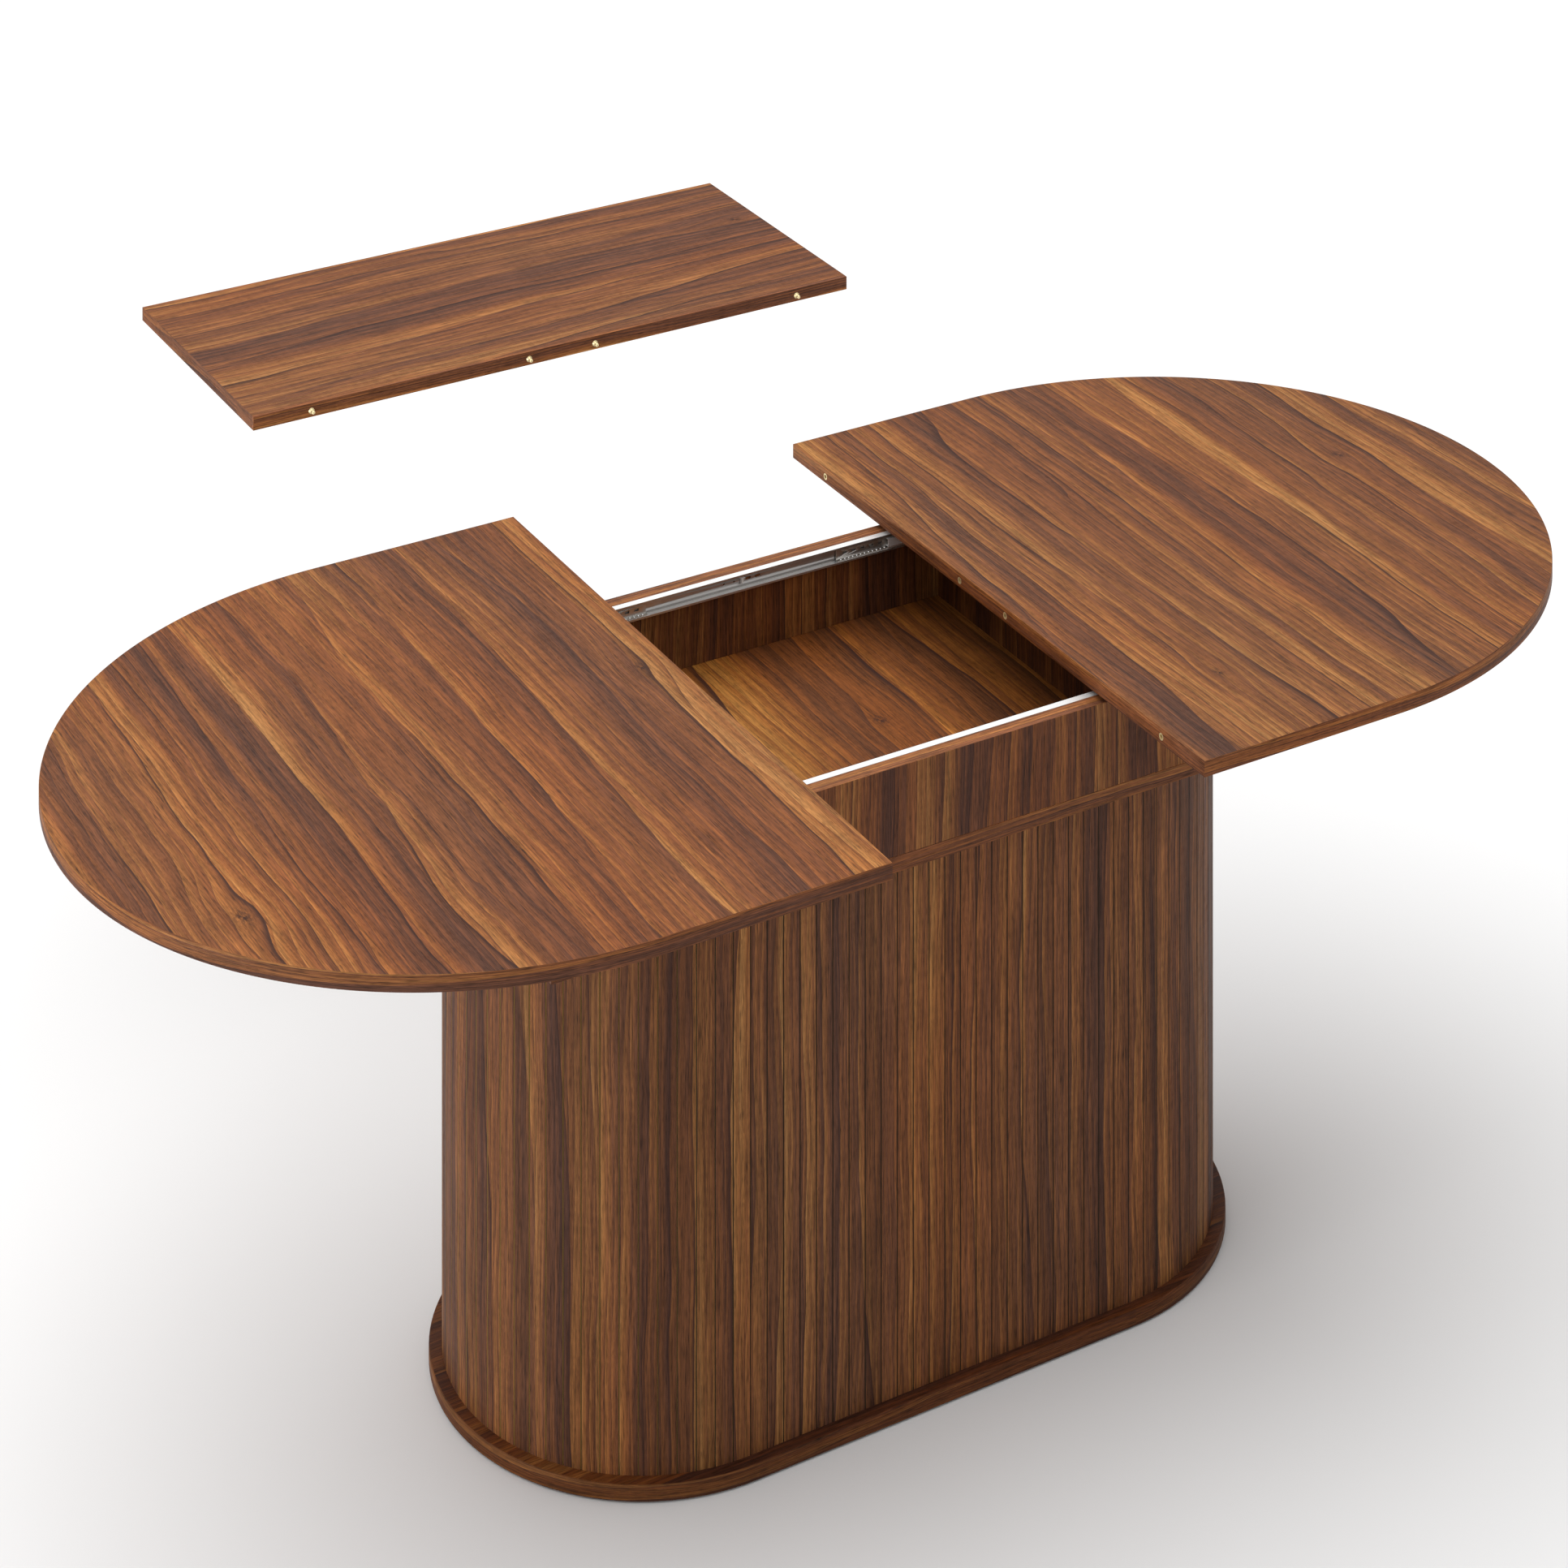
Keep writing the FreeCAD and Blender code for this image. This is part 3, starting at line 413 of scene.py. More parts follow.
        colour = graph.mix(line, colour, self.LINE)
        if self.knots:
            colour = graph.mix((heart * 0.95).maths("MINIMUM", 0.9), colour, self.LINE)
        colour = graph.mix((pore * 0.50 + long_pore * 0.40).maths("MINIMUM", 0.7), colour, self.LINE)
        relief = fibre * 0.35 + 0.65 - pore * 0.6
        return colour, pore, relief

    def material(self) -> bpy.types.Material:
        """Make the material."""
        graph = ShaderGraph(self.name)
        colour, pore, relief = self.figure(graph)
        values = {"Base Color": colour, "Roughness": pore * 0.2 + self.rough, "Specular IOR Level": 0.12}
        return graph.finish(values, relief, 0.00035)


@dataclass(frozen=True)
class Metal:
    """A metal with fine drawing lines along X and faint stains."""

    name: str
    colour: Colour
    rough: float
    draw: float = 0.12
    metal: float = 1.0

    def material(self) -> bpy.types.Material:
        """Make the material."""
        graph = ShaderGraph(self.name)
        x, y, z = graph.parts(graph.signal("ShaderNodeTexCoord", output="Object"))
        drawn = graph.noise(graph.vector(x * 40.0, y * 1800.0, z * 1800.0), 2.0)
        stain = graph.noise(graph.vector(x * 60.0, y * 60.0, z * 60.0), 3.0)
        tone = 1.0 + (drawn - 0.5) * self.draw + (stain - 0.5) * self.draw
        colour = graph.mix(1.0, self.colour, graph.vector(tone, tone, tone), "MULTIPLY")
        rough = drawn * 0.12 + stain * 0.08 + (self.rough - 0.1)
        return graph.finish({"Base Color": colour, "Metallic": self.metal, "Roughness": rough}, drawn, 0.00002)


@dataclass(frozen=True)
class Matt:
    """A matt, slightly uneven stuff: plastic, felt, raw board, stain, and also the painted shade in the grooves.
    """

    name: str
    colour: Colour
    rough: float = 0.6
    scale: float = 900.0
    contrast: float = 0.3

    def material(self) -> bpy.types.Material:
        """Make the material."""
        graph = ShaderGraph(self.name)
        place = graph.parts(graph.signal("ShaderNodeTexCoord", output="Object"))
        grit = graph.noise(graph.vector(*(part * self.scale for part in place)), 3.0, 0.6)
        tone = 1.0 + (grit - 0.5) * self.contrast
        colour = graph.mix(1.0, self.colour, graph.vector(tone, tone, tone), "MULTIPLY")
        rough = self.rough + (grit - 0.5) * 0.1
        return graph.finish({"Base Color": colour, "Roughness": rough}, grit, 0.0001)


@dataclass(frozen=True)
class Finishes:
    """Every finish of the table, made once."""

    left_top: bpy.types.Material
    right_top: bpy.types.Material
    leaf: bpy.types.Material
    leaf_edge: bpy.types.Material
    lipping: bpy.types.Material
    rim: bpy.types.Material
    inner_edge: bpy.types.Material
    slat: bpy.types.Material
    groove: bpy.types.Material
    groove_shade: bpy.types.Material
    plinth: bpy.types.Material
    plinth_rim: bpy.types.Material
    rail: bpy.types.Material
    rail_edge: bpy.types.Material
    cross_panel: bpy.types.Material
    box_floor: bpy.types.Material
    box_floor_edge: bpy.types.Material
    batten: bpy.types.Material
    core: bpy.types.Material
    zinc: bpy.types.Material
    web: bpy.types.Material
    cage: bpy.types.Material
    ball: bpy.types.Material
    brass: bpy.types.Material
    screw: bpy.types.Material
    plastic: bpy.types.Material
    felt: bpy.types.Material
    dowel: bpy.types.Material

    @classmethod
    def make(cls) -> "Finishes":
        """Make every finish.

        Returns:
            The finishes, ready to assign.
        """
        high = 0.754
        left_knots = (Knot(high - 0.238, 0.042, 0.007), Knot(high - 0.828, -0.203, 0.010))
        right_knots = (Knot(high + 0.793, 0.072, 0.007), Knot(high + 0.33, -0.30, 0.005))
        even = (0.82, 0.82, 0.82)
        # shaded is a gain of painted shade: it darkens the plinth's rim for the shade under the table.
        shaded = (0.38, 0.33, 0.29)
        veneers = {
            "left_top": Veneer("walnut_left_top", Grain.ALONG_Y, 4.0, (1.0, 0.99, 0.94), knots=left_knots),
            "right_top": Veneer("walnut_right_top", Grain.ALONG_Y, 9.0, (0.95, 0.98, 0.95), knots=right_knots),
            "leaf": Veneer("walnut_leaf", Grain.ALONG_X, 15.0, (0.94, 0.95, 0.99), knots=(Knot(1.091 + 0.774, 0.474, 0.008),)),
            "leaf_edge": Veneer("walnut_leaf_edge", Grain.ALONG_Y, 17.0, band_width=0.2),
            "lipping": Veneer("walnut_lipping", Grain.ALONG_X, 16.0, (1.3, 1.3, 1.3), 0.06, 0.01),
            "rim": Veneer("walnut_rim", Grain.ON_RIM, 21.0, even, 0.016, 0.010),
            "inner_edge": Veneer("walnut_inner_edge", Grain.ON_RIM, 22.0, band_width=0.03, sway=0.012),
            # The slats' gain is low partly as painted shade, for the dimmer light on the column's upright faces,
            # and partly for the veneer's own tone.
            "slat": Veneer("walnut_slat", Grain.ON_SLAT, 27.0, (0.70, 0.76, 0.83), 0.06, 0.015),
            # The plinth's gain is low partly as painted shade under the table and partly for its own tone; its
            # rim takes the darker shaded gain.
            "plinth": Veneer("walnut_plinth", Grain.ALONG_X, 33.0, (0.54, 0.46, 0.40)),
            "plinth_rim": Veneer("walnut_plinth_rim", Grain.ON_RIM, 35.0, shaded, 0.02, 0.012),
            # The rails' gain is low partly as painted shade, for the dimmer light on their upright faces, and
            # partly for the veneer's own tone.
            "rail": Veneer("walnut_rail", Grain.ALONG_Z, 39.0, (0.68, 0.68, 0.70), 0.06),
            "rail_edge": Veneer("walnut_rail_edge", Grain.ALONG_X, 41.0, (1.2, 1.25, 1.3), 0.03, 0.012),
            # The cross panels' gain is lower than the rails' as painted shade, for the dark under the tops inside
            # the box.
            "cross_panel": Veneer("walnut_cross_panel", Grain.ALONG_Z, 45.0, (0.42, 0.38, 0.34), 0.06),
            "box_floor": Veneer("walnut_box_floor", Grain.ALONG_Y, 51.0, (0.90, 0.83, 0.54), 0.15,
                                knots=(Knot(0.064 + 0.63, 0.008, 0.009),)),
            "box_floor_edge": Veneer("walnut_plate_edge", Grain.ALONG_X, 53.0, even, 0.03, 0.01),
            "batten": Veneer("walnut_batten", Grain.ALONG_X, 57.0, even, 0.04, 0.01),
        }
        others = {
            "groove": Matt("groove_stain", (0.270, 0.165, 0.038), 0.45),
            # groove_shade is painted shade: a near-black colour for the groove's shaded flank.
            "groove_shade": Matt("groove_shade", (0.030, 0.017, 0.007), 0.6),
            "core": Matt("raw_board", (0.42, 0.30, 0.18), 0.75, 500.0),
            "zinc": Metal("bright_zinc", (0.92, 0.92, 0.91), 0.30, metal=0.5),
            # The channel's upright webs get this darker copy of the zinc as painted shade; its level flanges keep
            # the bright zinc.
            "web": Metal("channel_web_painted_shade", (0.50, 0.48, 0.46), 0.32, metal=0.9),
            "cage": Metal("cage_steel", (0.60, 0.58, 0.54), 0.36),
            "ball": Metal("ball_steel", (0.90, 0.90, 0.90), 0.16, 0.02),
            "brass": Metal("turned_brass", (0.92, 0.76, 0.42), 0.30, 0.06, 0.65),
            "screw": Metal("screw_zinc", (0.66, 0.66, 0.62), 0.34),
            "plastic": Matt("white_plastic", (0.78, 0.78, 0.76), 0.40, 300.0, 0.05),
            "felt": Matt("pressed_felt", (0.04, 0.037, 0.033), 0.95, 1500.0, 0.8),
            "dowel": Matt("beech_dowel", (0.62, 0.46, 0.28), 0.7, 700.0),
        }
        return cls(**{name: look.material() for name, look in {**veneers, **others}.items()})


# ------------------------------------------------------------------------------ mesh kit
def new_piece(name: str, mesh: bpy.types.Mesh, materials: Sequence[bpy.types.Material]) -> bpy.types.Object:
    """Link a mesh as an object at the origin.

    Args:
        name: the piece's name.
        mesh: its mesh.
        materials: its material slots, in order.

    Returns:
        The object.
    """
    mesh.name = name
    for material in materials:
        mesh.materials.append(material)
    piece = bpy.data.objects.new(name, mesh)
    bpy.context.scene.collection.objects.link(piece)
    return piece


def flatten(piece: bpy.types.Object) -> None:
    """Bake a piece's modifiers into its mesh and remove them.

    Args:
        piece: the object to flatten.
    """
    graph = bpy.context.evaluated_depsgraph_get()
    graph.update()
    mesh = bpy.data.meshes.new_from_object(piece.evaluated_get(graph), preserve_all_data_layers=True,
                                           depsgraph=graph)
    old = piece.data
    piece.modifiers.clear()
    piece.data = mesh
    bpy.data.meshes.remove(old)


def body_of(node: str) -> str:
    """Name the body that a CAD node belongs to."""
    return next(body for body, nodes in frame["record"]["behaviour"]["bodies"].items() if node in nodes)


def slot_of(node: str) -> str:
    """Name the record's material slot of a CAD node."""
    return next(row["material_slot"] for row in frame["record"]["subparts"] if row["node"] == node)


def stand_for(piece: bpy.types.Object, node: str) -> bpy.types.Object:
    """Let a piece ride with a CAD node's body and stand for that node.

    Args:
        piece: the finished piece.
        node: the CAD node that it replaces.

    Returns:
        The piece.
    """
    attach(piece, body_of(node))
    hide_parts(node)
    slot_of(node)
    LOG.info("%s: %d faces for %s", piece.name, len(piece.data.polygons), node)
    return piece


def merged_copy(node: str) -> bmesh.types.BMesh:
    """Copy a CAD node's mesh with its loose triangles joined.

    Args:
        node: the CAD node.

    Returns:
        The joined mesh.
    """
    shape = bmesh.new()
    shape.from_mesh(frame["nodes"][node].data)
    bmesh.ops.remove_doubles(shape, verts=shape.verts, dist=1e-6)
    return shape


def to_mesh(shape: bmesh.types.BMesh, name: str) -> bpy.types.Mesh:
    """Turn a bmesh into a mesh and free it."""
    mesh = bpy.data.meshes.new(name)
    shape.to_mesh(mesh)
    shape.free()
    return mesh


def eased_copy(node: str, edge: float, pick: Callable[[Vector], int],
               materials: Sequence[bpy.types.Material]) -> bpy.types.Object:
    """Copy a square-edged CAD node with eased edges.

    Args:
        node: the CAD node.
        edge: width of the easing.
        pick: gives a face's material index from its normal.
        materials: the material slots.

    Returns:
        The piece, standing for the node.
    """
    shape = merged_copy(node)
    bmesh.ops.dissolve_limit(shape, angle_limit=math.radians(1), verts=shape.verts, edges=shape.edges)
    for face in shape.faces:
        face.material_index = pick(face.normal)
    sharp = [e for e in shape.edges if e.is_manifold and e.calc_face_angle() > math.radians(40)]
    bmesh.ops.bevel(shape, geom=sharp, offset=edge, segments=2, profile=0.5, affect="EDGES",
                    clamp_overlap=True)
    bmesh.ops.triangulate(shape, faces=[face for face in shape.faces if len(face.verts) > 4])
    return stand_for(new_piece(f"{node}_eased", to_mesh(shape, node), materials), node)


def smooth_copy(node: str, material: bpy.types.Material, edge: float = 0.0,
                upright: bpy.types.Material | None = None) -> bpy.types.Object:
    """Copy a turned or pressed CAD node with smooth shading.

    Args:
        node: the CAD node.
        material: its finish.
        edge: width of the easing of its sharp edges, or 0 for none.
        upright: the finish of its upright faces, where it differs.

    Returns:
        The piece, standing for the node.
    """
    shape = merged_copy(node)
    if edge:
        bmesh.ops.dissolve_limit(shape, angle_limit=math.radians(1), verts=shape.verts, edges=shape.edges)
        sharp = [e for e in shape.edges if e.is_manifold and e.calc_face_angle() > math.radians(50)]
        bmesh.ops.bevel(shape, geom=sharp, offset=edge, segments=2, profile=0.5, affect="EDGES",
                        clamp_overlap=True)
        bmesh.ops.triangulate(shape, faces=[face for face in shape.faces if len(face.verts) > 4])
    for face in shape.faces:
        face.smooth = True
        face.material_index = flat_or_edge(face.normal) if upright else 0
    mesh = to_mesh(shape, node)
    mesh.set_sharp_from_angle(angle=math.radians(38))
    materials = [material, upright] if upright else [material]
    return stand_for(new_piece(f"{node}_finished", mesh, materials), node)


def flat_or_edge(normal: Vector) -> int:
    """Material index 0 for a level face and 1 for an upright one."""
    return 0 if abs(normal.z) > 0.7 else 1


def upright_or_edge(normal: Vector) -> int:
    """Material index 0 for an upright face and 1 for a level one."""
    return 1 - flat_or_edge(normal)


# ------------------------------------------------------------------------- round slabs
@dataclass
class OutlinePoint:
    """A point of a slab's outline, with its outward direction and its run along the rim."""

    place: Vector
    outward: Vector
    run: float
    rim: int


def outline_points(corners: Iterable[tuple[Vector, int]]) -> list[OutlinePoint]:
    """Work out the outward directions and the run of a closed outline.

    Args:
        corners: points anticlockwise, each with the material index of the rim that starts there.

    Returns:
        The outline's points.
    """
    places = list(corners)
    count = len(places)
    result, run = [], 0.0
    for index, (place, rim) in enumerate(places):
        ahead = (places[(index + 1) % count][0] - place).normalized()
        behind = (place - places[index - 1][0]).normalized()
        first, second = Vector((behind.y, -behind.x)), Vector((ahead.y, -ahead.x))
        outward = (first + second) / (1.0 + first.dot(second))
        if index:
            run += (place - places[index - 1][0]).length
        result.append(OutlinePoint(place, outward, run, rim))
    return result


@dataclass
class Slab:
    """A board with an eased rim and a veneered edge band."""

    outline: list[OutlinePoint]
    low: float
    high: float
    easing: float = 0.5 * MM
    steps: int = 2

    def levels(self) -> list[tuple[float, float]]:
        """Inset and height of each ring, from the underside to the top.

        Returns:
            Pairs of inset and height.
        """
        turns = [index / self.steps * math.pi / 2 for index in range(self.steps + 1)]
        lower = [(self.easing * (1 - math.sin(a)), self.low + self.easing * (1 - math.cos(a))) for a in turns]
        upper = [(inset, self.low + self.high - z) for inset, z in reversed(lower)]
        return lower + upper

    def mesh(self, name: str) -> bpy.types.Mesh:
        """Build the slab.

        Args:
            name: the mesh's name.

        Returns:
            A closed mesh with UVs along its rim.
        """
        shape = bmesh.new()
        layer = shape.loops.layers.uv.new("UVMap")
        rings = []
        for inset, height in self.levels():
            rings.append([shape.verts.new((*(point.place - point.outward * inset), height))
                          for point in self.outline])
        count = len(self.outline)
        length = self.outline[-1].run + (self.outline[0].place - self.outline[-1].place).length
        for level, (lower, upper) in enumerate(zip(rings, rings[1:])):
            for index, point in enumerate(self.outline):
                after = (index + 1) % count
                face = shape.faces.new((lower[index], lower[after], upper[after], upper[index]))
                face.smooth = True
                face.material_index = point.rim
                ends = (point.run, self.outline[after].run if after else length)
                heights = (self.levels()[level][1], self.levels()[level + 1][1])
                corners = ((ends[0], heights[0]), (ends[1], heights[0]), (ends[1], heights[1]),
                           (ends[0], heights[1]))
                for loop, corner in zip(face.loops, corners):
                    loop[layer].uv = corner
        shape.faces.new(rings[-1])
        shape.faces.new(list(reversed(rings[0])))
        for ring in (rings[0], rings[-1]):
            for index in range(count):
                shape.edges.get((ring[index], ring[(index + 1) % count])).smooth = False
        for edge in shape.edges:
            if edge.is_manifold and edge.calc_face_angle() > math.radians(40):
                edge.smooth = False
        return to_mesh(shape, name)


@dataclass
class HalfTop:
    """One half of the table top, with the holes of its edge fittings."""

    side: int
    body: str
    fittings: str
    rim_steps: int = 160

    def outline(self) -> list[OutlinePoint]:
        """The straight part by the gap and the half ellipse, anticlockwise.

        Returns:
            The outline's points.
        """
        low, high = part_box(self.body)
        width = high.y
        inner, tip = (low.x, high.x) if self.side > 0 else (-high.x, -low.x)
        reach = 0.480
        centre = tip - reach
        corners = [(Vector((inner, -width)), 1)]
        for index in range(self.rim_steps + 1):
            turn = math.pi * (index / self.rim_steps - 0.5)
            corners.append((Vector((centre + reach * math.cos(turn), width * math.sin(turn))), 1))
        corners.append((Vector((inner, width)), 2))
        if self.side < 0:
            corners = [(Vector((-place.x, -place.y)), rim) for place, rim in corners]
        return outline_points(corners)

    def drill(self, piece: bpy.types.Object) -> None:
        """Cut the round holes that the fittings sit in.

        Args:
            piece: the half top.
        """
        shape = merged_copy(self.fittings)
        columns: dict[int, list[Vector]] = {}
        for vert in shape.verts:
            columns.setdefault(round(vert.co.y / 0.03), []).append(vert.co.copy())
        shape.free()
        drill = bmesh.new()
        edge_x = self.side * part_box(self.body)[0 if self.side > 0 else 1].x * self.side
        depth = 14 * MM
        for points in columns.values():
            middle = sum(points, Vector()) / len(points)
            place = Matrix.Translation((edge_x + self.side * (depth / 2 - 1 * MM), middle.y,
                                        (min(p.z for p in points) + max(p.z for p in points)) / 2))
            turn = Matrix.Rotation(math.pi / 2, 4, "Y")
            bmesh.ops.create_cone(drill, cap_ends=True, segments=32, radius1=4.05 * MM, radius2=4.05 * MM,
                                  depth=depth + 2 * MM, matrix=place @ turn)
        cutter = new_piece(f"{self.body}_drill", to_mesh(drill, "drill"), [])
        cut = piece.modifiers.new("holes", "BOOLEAN")
        cut.operation = "DIFFERENCE"
        cut.solver = "EXACT"
        cut.object = cutter
        flatten(piece)
        bpy.data.objects.remove(cutter)

    def build(self, finishes: Finishes) -> None:
        """Build the half top.

        Args:
            finishes: the table's finishes.
        """
        low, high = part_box(self.body)
        face = finishes.right_top if self.side > 0 else finishes.left_top
        mesh = Slab(self.outline(), low.z, high.z).mesh(self.body)
        piece = new_piece(f"{self.body}_board", mesh, [face, finishes.rim, finishes.inner_edge])
        self.drill(piece)
        stand_for(piece, self.body)
        smooth_copy(self.fittings, finishes.brass)
        for end in ("front", "rear"):
            eased_copy(f"{self.body[:-4]}_{end}_batten", 0.8 * MM, flat_or_edge, [finishes.batten] * 2)


# ------------------------------------------------------------------------------ the leaf
@dataclass
class Leaf:
    """The loose extension leaf with its lippings, pins and bushes."""

    easing: float = 0.4 * MM

    def build(self, finishes: Finishes) -> None:
        """Build the leaf.

        Args:
            finishes: the table's finishes.
        """
        eased_copy("leaf", self.easing, lambda normal: 1 if abs(normal.x) > 0.7 else 0,
                   [finishes.leaf, finishes.leaf_edge])
        for node in ("leaf_pin_lipping", "leaf_bush_lipping"):
            eased_copy(node, self.easing, flat_or_edge, [finishes.lipping, finishes.rail_edge])
        for node in ("leaf_pins", "leaf_bushes"):
            smooth_copy(node, finishes.brass)


# ------------------------------------------------------------------------ geometry nodes
class NodeTree:
    """A Geometry Nodes tree with named inputs, and the methods that wire it."""

    def __init__(self, name: str, inputs: dict[str, str]) -> None:
        """Start a tree.

        Args:
            name: the tree's name.
            inputs: socket type of each named input.
        """
        self.tree = bpy.data.node_groups.new(name, "GeometryNodeTree")
        self.identifiers = {}
        self.tree.interface.new_socket("Geometry", in_out="INPUT", socket_type="NodeSocketGeometry")
        for label, kind in inputs.items():
            socket = self.tree.interface.new_socket(label, in_out="INPUT", socket_type=kind)
            self.identifiers[label] = socket.identifier
        self.tree.interface.new_socket("Geometry", in_out="OUTPUT", socket_type="NodeSocketGeometry")
        self.start = self.tree.nodes.new("NodeGroupInput")
        self.end = self.tree.nodes.new("NodeGroupOutput")

    def node(self, kind: str, settings: dict | None = None, values: dict | None = None) -> bpy.types.Node:
        """Make a node.

        Args:
            kind: the node's type.
            settings: its properties.
            values: values or output sockets, by input name or index.

        Returns:
            The node.
        """
        made = self.tree.nodes.new(kind)
        for key, value in (settings or {}).items():
            setattr(made, key, value)
        for key, value in (values or {}).items():
            if isinstance(value, bpy.types.NodeSocket):
                self.tree.links.new(value, made.inputs[key])
            else:
                made.inputs[key].default_value = value
        return made

    def maths(self, operation: str, first: Any, second: Any) -> bpy.types.NodeSocket:
        """Apply a Math node to two numbers or sockets."""
        return self.node("ShaderNodeMath", {"operation": operation}, {0: first, 1: second}).outputs[0]

    def finish(self, geometry: bpy.types.NodeSocket, material: bpy.types.NodeSocket) -> None:
        """Realize the instances, set the material and close the tree.

        Args:
            geometry: the instances.
            material: the material input.
        """
        real = self.node("GeometryNodeRealizeInstances", None, {0: geometry})
        dressed = self.node("GeometryNodeSetMaterial", None, {0: real.outputs[0], "Material": material})
        self.tree.links.new(dressed.outputs[0], self.end.inputs[0])

    def run(self, name: str, mesh: bpy.types.Mesh, values: dict[str, Any]) -> bpy.types.Object:
        """Run the tree on a mesh and keep the result as a plain mesh.

        Args:
            name: the result's name.
            mesh: the mesh that the tree reads.
            values: value of each named input.

        Returns:
            The object with the plain mesh.
        """
        piece = new_piece(name, mesh, [])
        modifier = piece.modifiers.new("repeat", "NODES")
        modifier.node_group = self.tree
        for label, value in values.items():
            modifier[self.identifiers[label]] = value
        flatten(piece)
        return piece


def slat_run_tree() -> NodeTree:
    """Tree that stands slats side by side along a straight run or round an end.

    Its start angle, turn and radius place each slat: on a straight run the turn is 0.

    Returns:
        The tree.
    """
    tree = NodeTree("slat_run", {
        "Slat": "NodeSocketObject", "Count": "NodeSocketInt", "Pitch": "NodeSocketFloat",
        "Turn": "NodeSocketFloat", "Start Angle": "NodeSocketFloat", "Radius": "NodeSocketFloat",
        "Start": "NodeSocketVector", "Run Start": "NodeSocketFloat", "Seed": "NodeSocketInt",
        "Tone Range": "NodeSocketFloat", "Finish": "NodeSocketMaterial"})
    source = tree.start.outputs
    line = tree.node("GeometryNodeMeshLine", {"mode": "OFFSET"},
                     {"Count": source["Count"], "Start Location": (0, 0, 0), "Offset": (0, 0, 0)})
    index = tree.node("GeometryNodeInputIndex").outputs[0]
    middle = tree.maths("ADD", index, 0.5)
    distance = tree.maths("MULTIPLY", middle, source["Pitch"])
    angle = tree.maths("ADD", source["Start Angle"], tree.maths("MULTIPLY", middle, source["Turn"]))
    straight = tree.maths("MULTIPLY", distance, tree.maths("LESS_THAN", source["Turn"], 1e-6))
    x = tree.maths("ADD", straight, tree.maths("MULTIPLY", source["Radius"], tree.maths("SINE", angle, 0)))
    y = tree.maths("MULTIPLY", tree.maths("MULTIPLY", source["Radius"], tree.maths("COSINE", angle, 0)), -1.0)
    offset = tree.node("ShaderNodeCombineXYZ", None, {0: x, 1: y}).outputs[0]
    place = tree.node("ShaderNodeVectorMath", {"operation": "ADD"}, {0: offset, 1: source["Start"]}).outputs[0]
    points = tree.node("GeometryNodeSetPosition", None, {0: line.outputs[0], "Position": place})
    info = tree.node("GeometryNodeObjectInfo", {"transform_space": "ORIGINAL"},
                     {"Object": source["Slat"]})
    turn = tree.node("ShaderNodeCombineXYZ", None, {2: angle}).outputs[0]
    rows = tree.node("GeometryNodeInstanceOnPoints", None,
                     {0: points.outputs[0], "Instance": info.outputs["Geometry"], "Rotation": turn})
    shade = tree.node("FunctionNodeRandomValue", {"data_type": "FLOAT"})
    tree.tree.links.new(source["Seed"], shade.inputs["Seed"])
    random_value = next(socket for socket in shade.outputs if socket.enabled)
    spread = tree.maths("MULTIPLY", tree.maths("SUBTRACT", random_value, 0.5), source["Tone Range"])
    tone = tree.maths("ADD", spread, 1.0)
    run = tree.maths("ADD", distance, source["Run Start"])
    stored = rows.outputs[0]
    for label, value in (("run", run), ("tone", tone)):
        store = tree.node("GeometryNodeStoreNamedAttribute", {"data_type": "FLOAT", "domain": "INSTANCE"},
                          {0: stored, "Name": label, "Value": value})
        stored = store.outputs[0]
    real = tree.node("GeometryNodeRealizeInstances", None, {0: stored})
    level = tree.node("GeometryNodeInputMaterialIndex").outputs[0]
    face = tree.node("FunctionNodeCompare", {"data_type": "INT", "operation": "EQUAL"})
    tree.tree.links.new(level, face.inputs[2])
    face.inputs[3].default_value = 0
    dressed = tree.node("GeometryNodeSetMaterial", None,
                        {0: real.outputs[0], "Selection": face.outputs[0], "Material": source["Finish"]})
    tree.tree.links.new(dressed.outputs[0], tree.end.inputs[0])
    return tree


